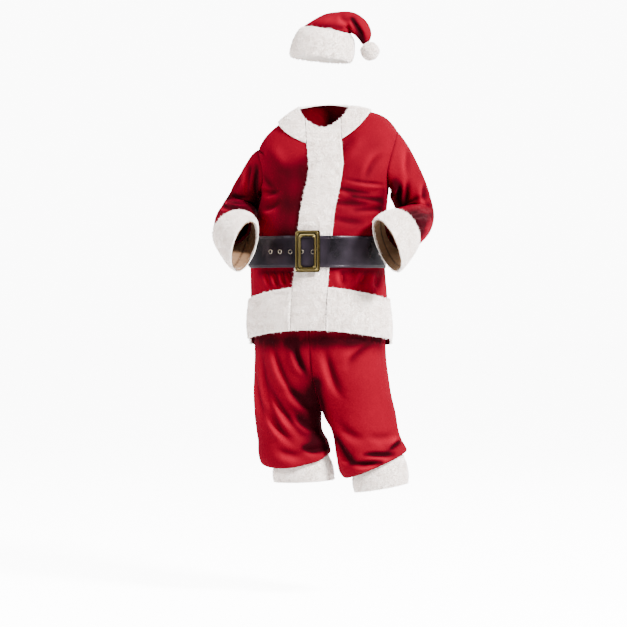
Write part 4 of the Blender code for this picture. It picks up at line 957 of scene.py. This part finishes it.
# Only the edges at the corners are chosen, but every vertex lies on one of them, so entering edit mode
# selects all 136 edges. The bevel is wider than the ridges are apart, so the frame passes through itself,
# faces inwards and comes out at 76 by 127 by 12 mm.
for edge in buckle.data.edges:
    run = places[edge.vertices[1]] - places[edge.vertices[0]]
    upright, slanting = abs(run[:2]).max() < HAIR, abs(run[:2]).min() > HAIR
    edge.select = bool(upright or slanting)
for thing in (*buckle.data.vertices, *buckle.data.polygons):
    thing.select = False
bpy.ops.object.mode_set(mode="EDIT")
bpy.ops.mesh.select_mode(type="EDGE")
bpy.ops.mesh.bevel(offset=BUCKLE_ROUND, segments=ROUND_STEPS, affect="EDGES")
bpy.ops.mesh.select_all(action="SELECT")
bpy.ops.mesh.normals_make_consistent(inside=False)
bpy.ops.object.mode_set(mode="OBJECT")

frame_points = np.array([v.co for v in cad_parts["belt_buckle"].data.vertices])
low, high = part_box("belt_buckle")
flat = frame_points[frame_points[:, 2] > high.z - TOP_LAYER]
turn = math.atan2(np.polyfit(flat[:, 0], flat[:, 1], 1)[0], 1.0)
facing = np.array((math.sin(turn), -math.cos(turn)))
foot_of = (frame_points[:, :2] @ facing).min()
places, _ = read_points(buckle)
middle = (np.array(low) + np.array(high)) / 2
sideways = np.array((math.cos(turn), math.sin(turn)))
along_bar = middle[:2] @ sideways
placed = places[:, :1] * sideways + along_bar * sideways + (foot_of + places[:, 2:]) * facing
write_points(buckle, np.column_stack((placed, middle[2] + places[:, 1])))
rubbed = (places[:, 2] / BUCKLE_DEEP - RUBBED_FROM) / (1.0 - RUBBED_FROM)
mark_points(buckle, "rubbed", np.clip(rubbed, 0.0, 1.0))
bpy.ops.object.select_all(action="DESELECT")
buckle.select_set(True)
bpy.context.view_layer.objects.active = buckle
bpy.ops.object.shade_smooth_by_angle(angle=SHARP)


def cast_metal(name, bright, dull, rough_bright, rough_dull, worn_by=None):
    """Metal that is bright where it is rubbed and dull in its hollows, speckled with patina."""
    material, tree, shader = new_material(name)
    place = new_node(tree, "TexCoord").outputs["Object"]
    speckle = new_node(tree, "TexNoise", Vector=place, Scale=420.0, Detail=4.0).outputs["Fac"]
    share = math_step(tree, "MULTIPLY_ADD", speckle, 1.6, -0.45, clamp=True)
    if worn_by:
        kept = new_node(tree, "Attribute")
        kept.attribute_name = worn_by
        both = math_step(tree, "MULTIPLY_ADD", kept.outputs["Fac"], 1.3, share, clamp=True)
        share = math_step(tree, "SUBTRACT", both, 0.62, clamp=True)
    rough = new_node(tree, "MapRange", Value=share, To_Min=rough_dull, To_Max=rough_bright)
    dent = new_node(tree, "Bump", Strength=0.35, Distance=0.0004, Height=speckle)
    set_inputs(tree, shader, Base_Color=mixed(tree, share, (*dull, 1.0), (*bright, 1.0)), Metallic=1.0,
               Roughness=rough.outputs["Result"], Normal=dent.outputs["Normal"])
    return material


buckle.data.materials.append(cast_metal("antique_brass", (0.56, 0.43, 0.17), (0.009, 0.007, 0.002),
                                        0.16, 0.36, worn_by="rubbed"))
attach(buckle, "root")
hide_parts("belt_buckle")

# ---- Belt eyelets ----
# Five pressed metal eyelets along the strap's free end. Each is a thin washer with a rolled rim round its
# hole, clinched through the strap.
EYELETS = 5
EYELET_RADIUS, EYELET_DEEP, EYELET_SIDES = 0.0070, 0.0012, 28
EYELET_STEPS = (   # radius and height of each ring of the pressing, from its outer edge to its back
    (1.00, 0.45), (0.96, 0.85), (0.90, 1.10), (0.84, 1.20), (0.78, 1.10), (0.73, 0.75), (0.71, 0.00))

bpy.ops.object.select_all(action="DESELECT")
bpy.ops.mesh.primitive_circle_add(vertices=EYELET_SIDES, radius=EYELET_RADIUS)
eyelet = bpy.context.object
bpy.ops.object.mode_set(mode="EDIT")
bpy.ops.mesh.select_all(action="SELECT")
last_share, last_height = 1.0, 0.0
for share, height in EYELET_STEPS:
    bpy.ops.mesh.extrude_region_move(
        TRANSFORM_OT_translate={"value": (0.0, 0.0, (height - last_height) * EYELET_DEEP)})
    bpy.ops.transform.resize(value=(share / last_share, share / last_share, 1.0))
    last_share, last_height = share, height
bpy.ops.mesh.select_all(action="DESELECT")
bpy.ops.mesh.select_non_manifold()
bpy.ops.mesh.bridge_edge_loops()
bpy.ops.mesh.select_all(action="SELECT")
bpy.ops.mesh.normals_make_consistent(inside=False)
bpy.ops.object.mode_set(mode="OBJECT")
bpy.ops.object.shade_smooth_by_angle(angle=SHARP)
eyelet.data.materials.append(cast_metal("eyelet_metal", (0.50, 0.46, 0.38), (0.16, 0.13, 0.09), 0.22, 0.40))
pressing, _ = read_points(eyelet)
for number in range(1, EYELETS + 1):
    node = "belt_eyelet_%d" % number
    rim = np.array([v.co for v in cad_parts[node].data.vertices])
    middle = rim.mean(axis=0)
    out = np.linalg.svd(rim - middle, full_matrices=False)[2][2]
    out = out * np.sign(-out[1])
    sideways = np.cross((0.0, 0.0, 1.0), -out)
    sideways /= np.linalg.norm(sideways)
    upward = np.cross(out, sideways)
    seat = middle + out * ((rim - middle) @ out).min()
    copy = linked(node + "_pressed", eyelet.data.copy())
    write_points(copy, seat + pressing[:, :1] * sideways + pressing[:, 1:2] * upward + pressing[:, 2:] * out)
    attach(copy, "root")
    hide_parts(node)
bpy.data.objects.remove(eyelet)

low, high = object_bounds()
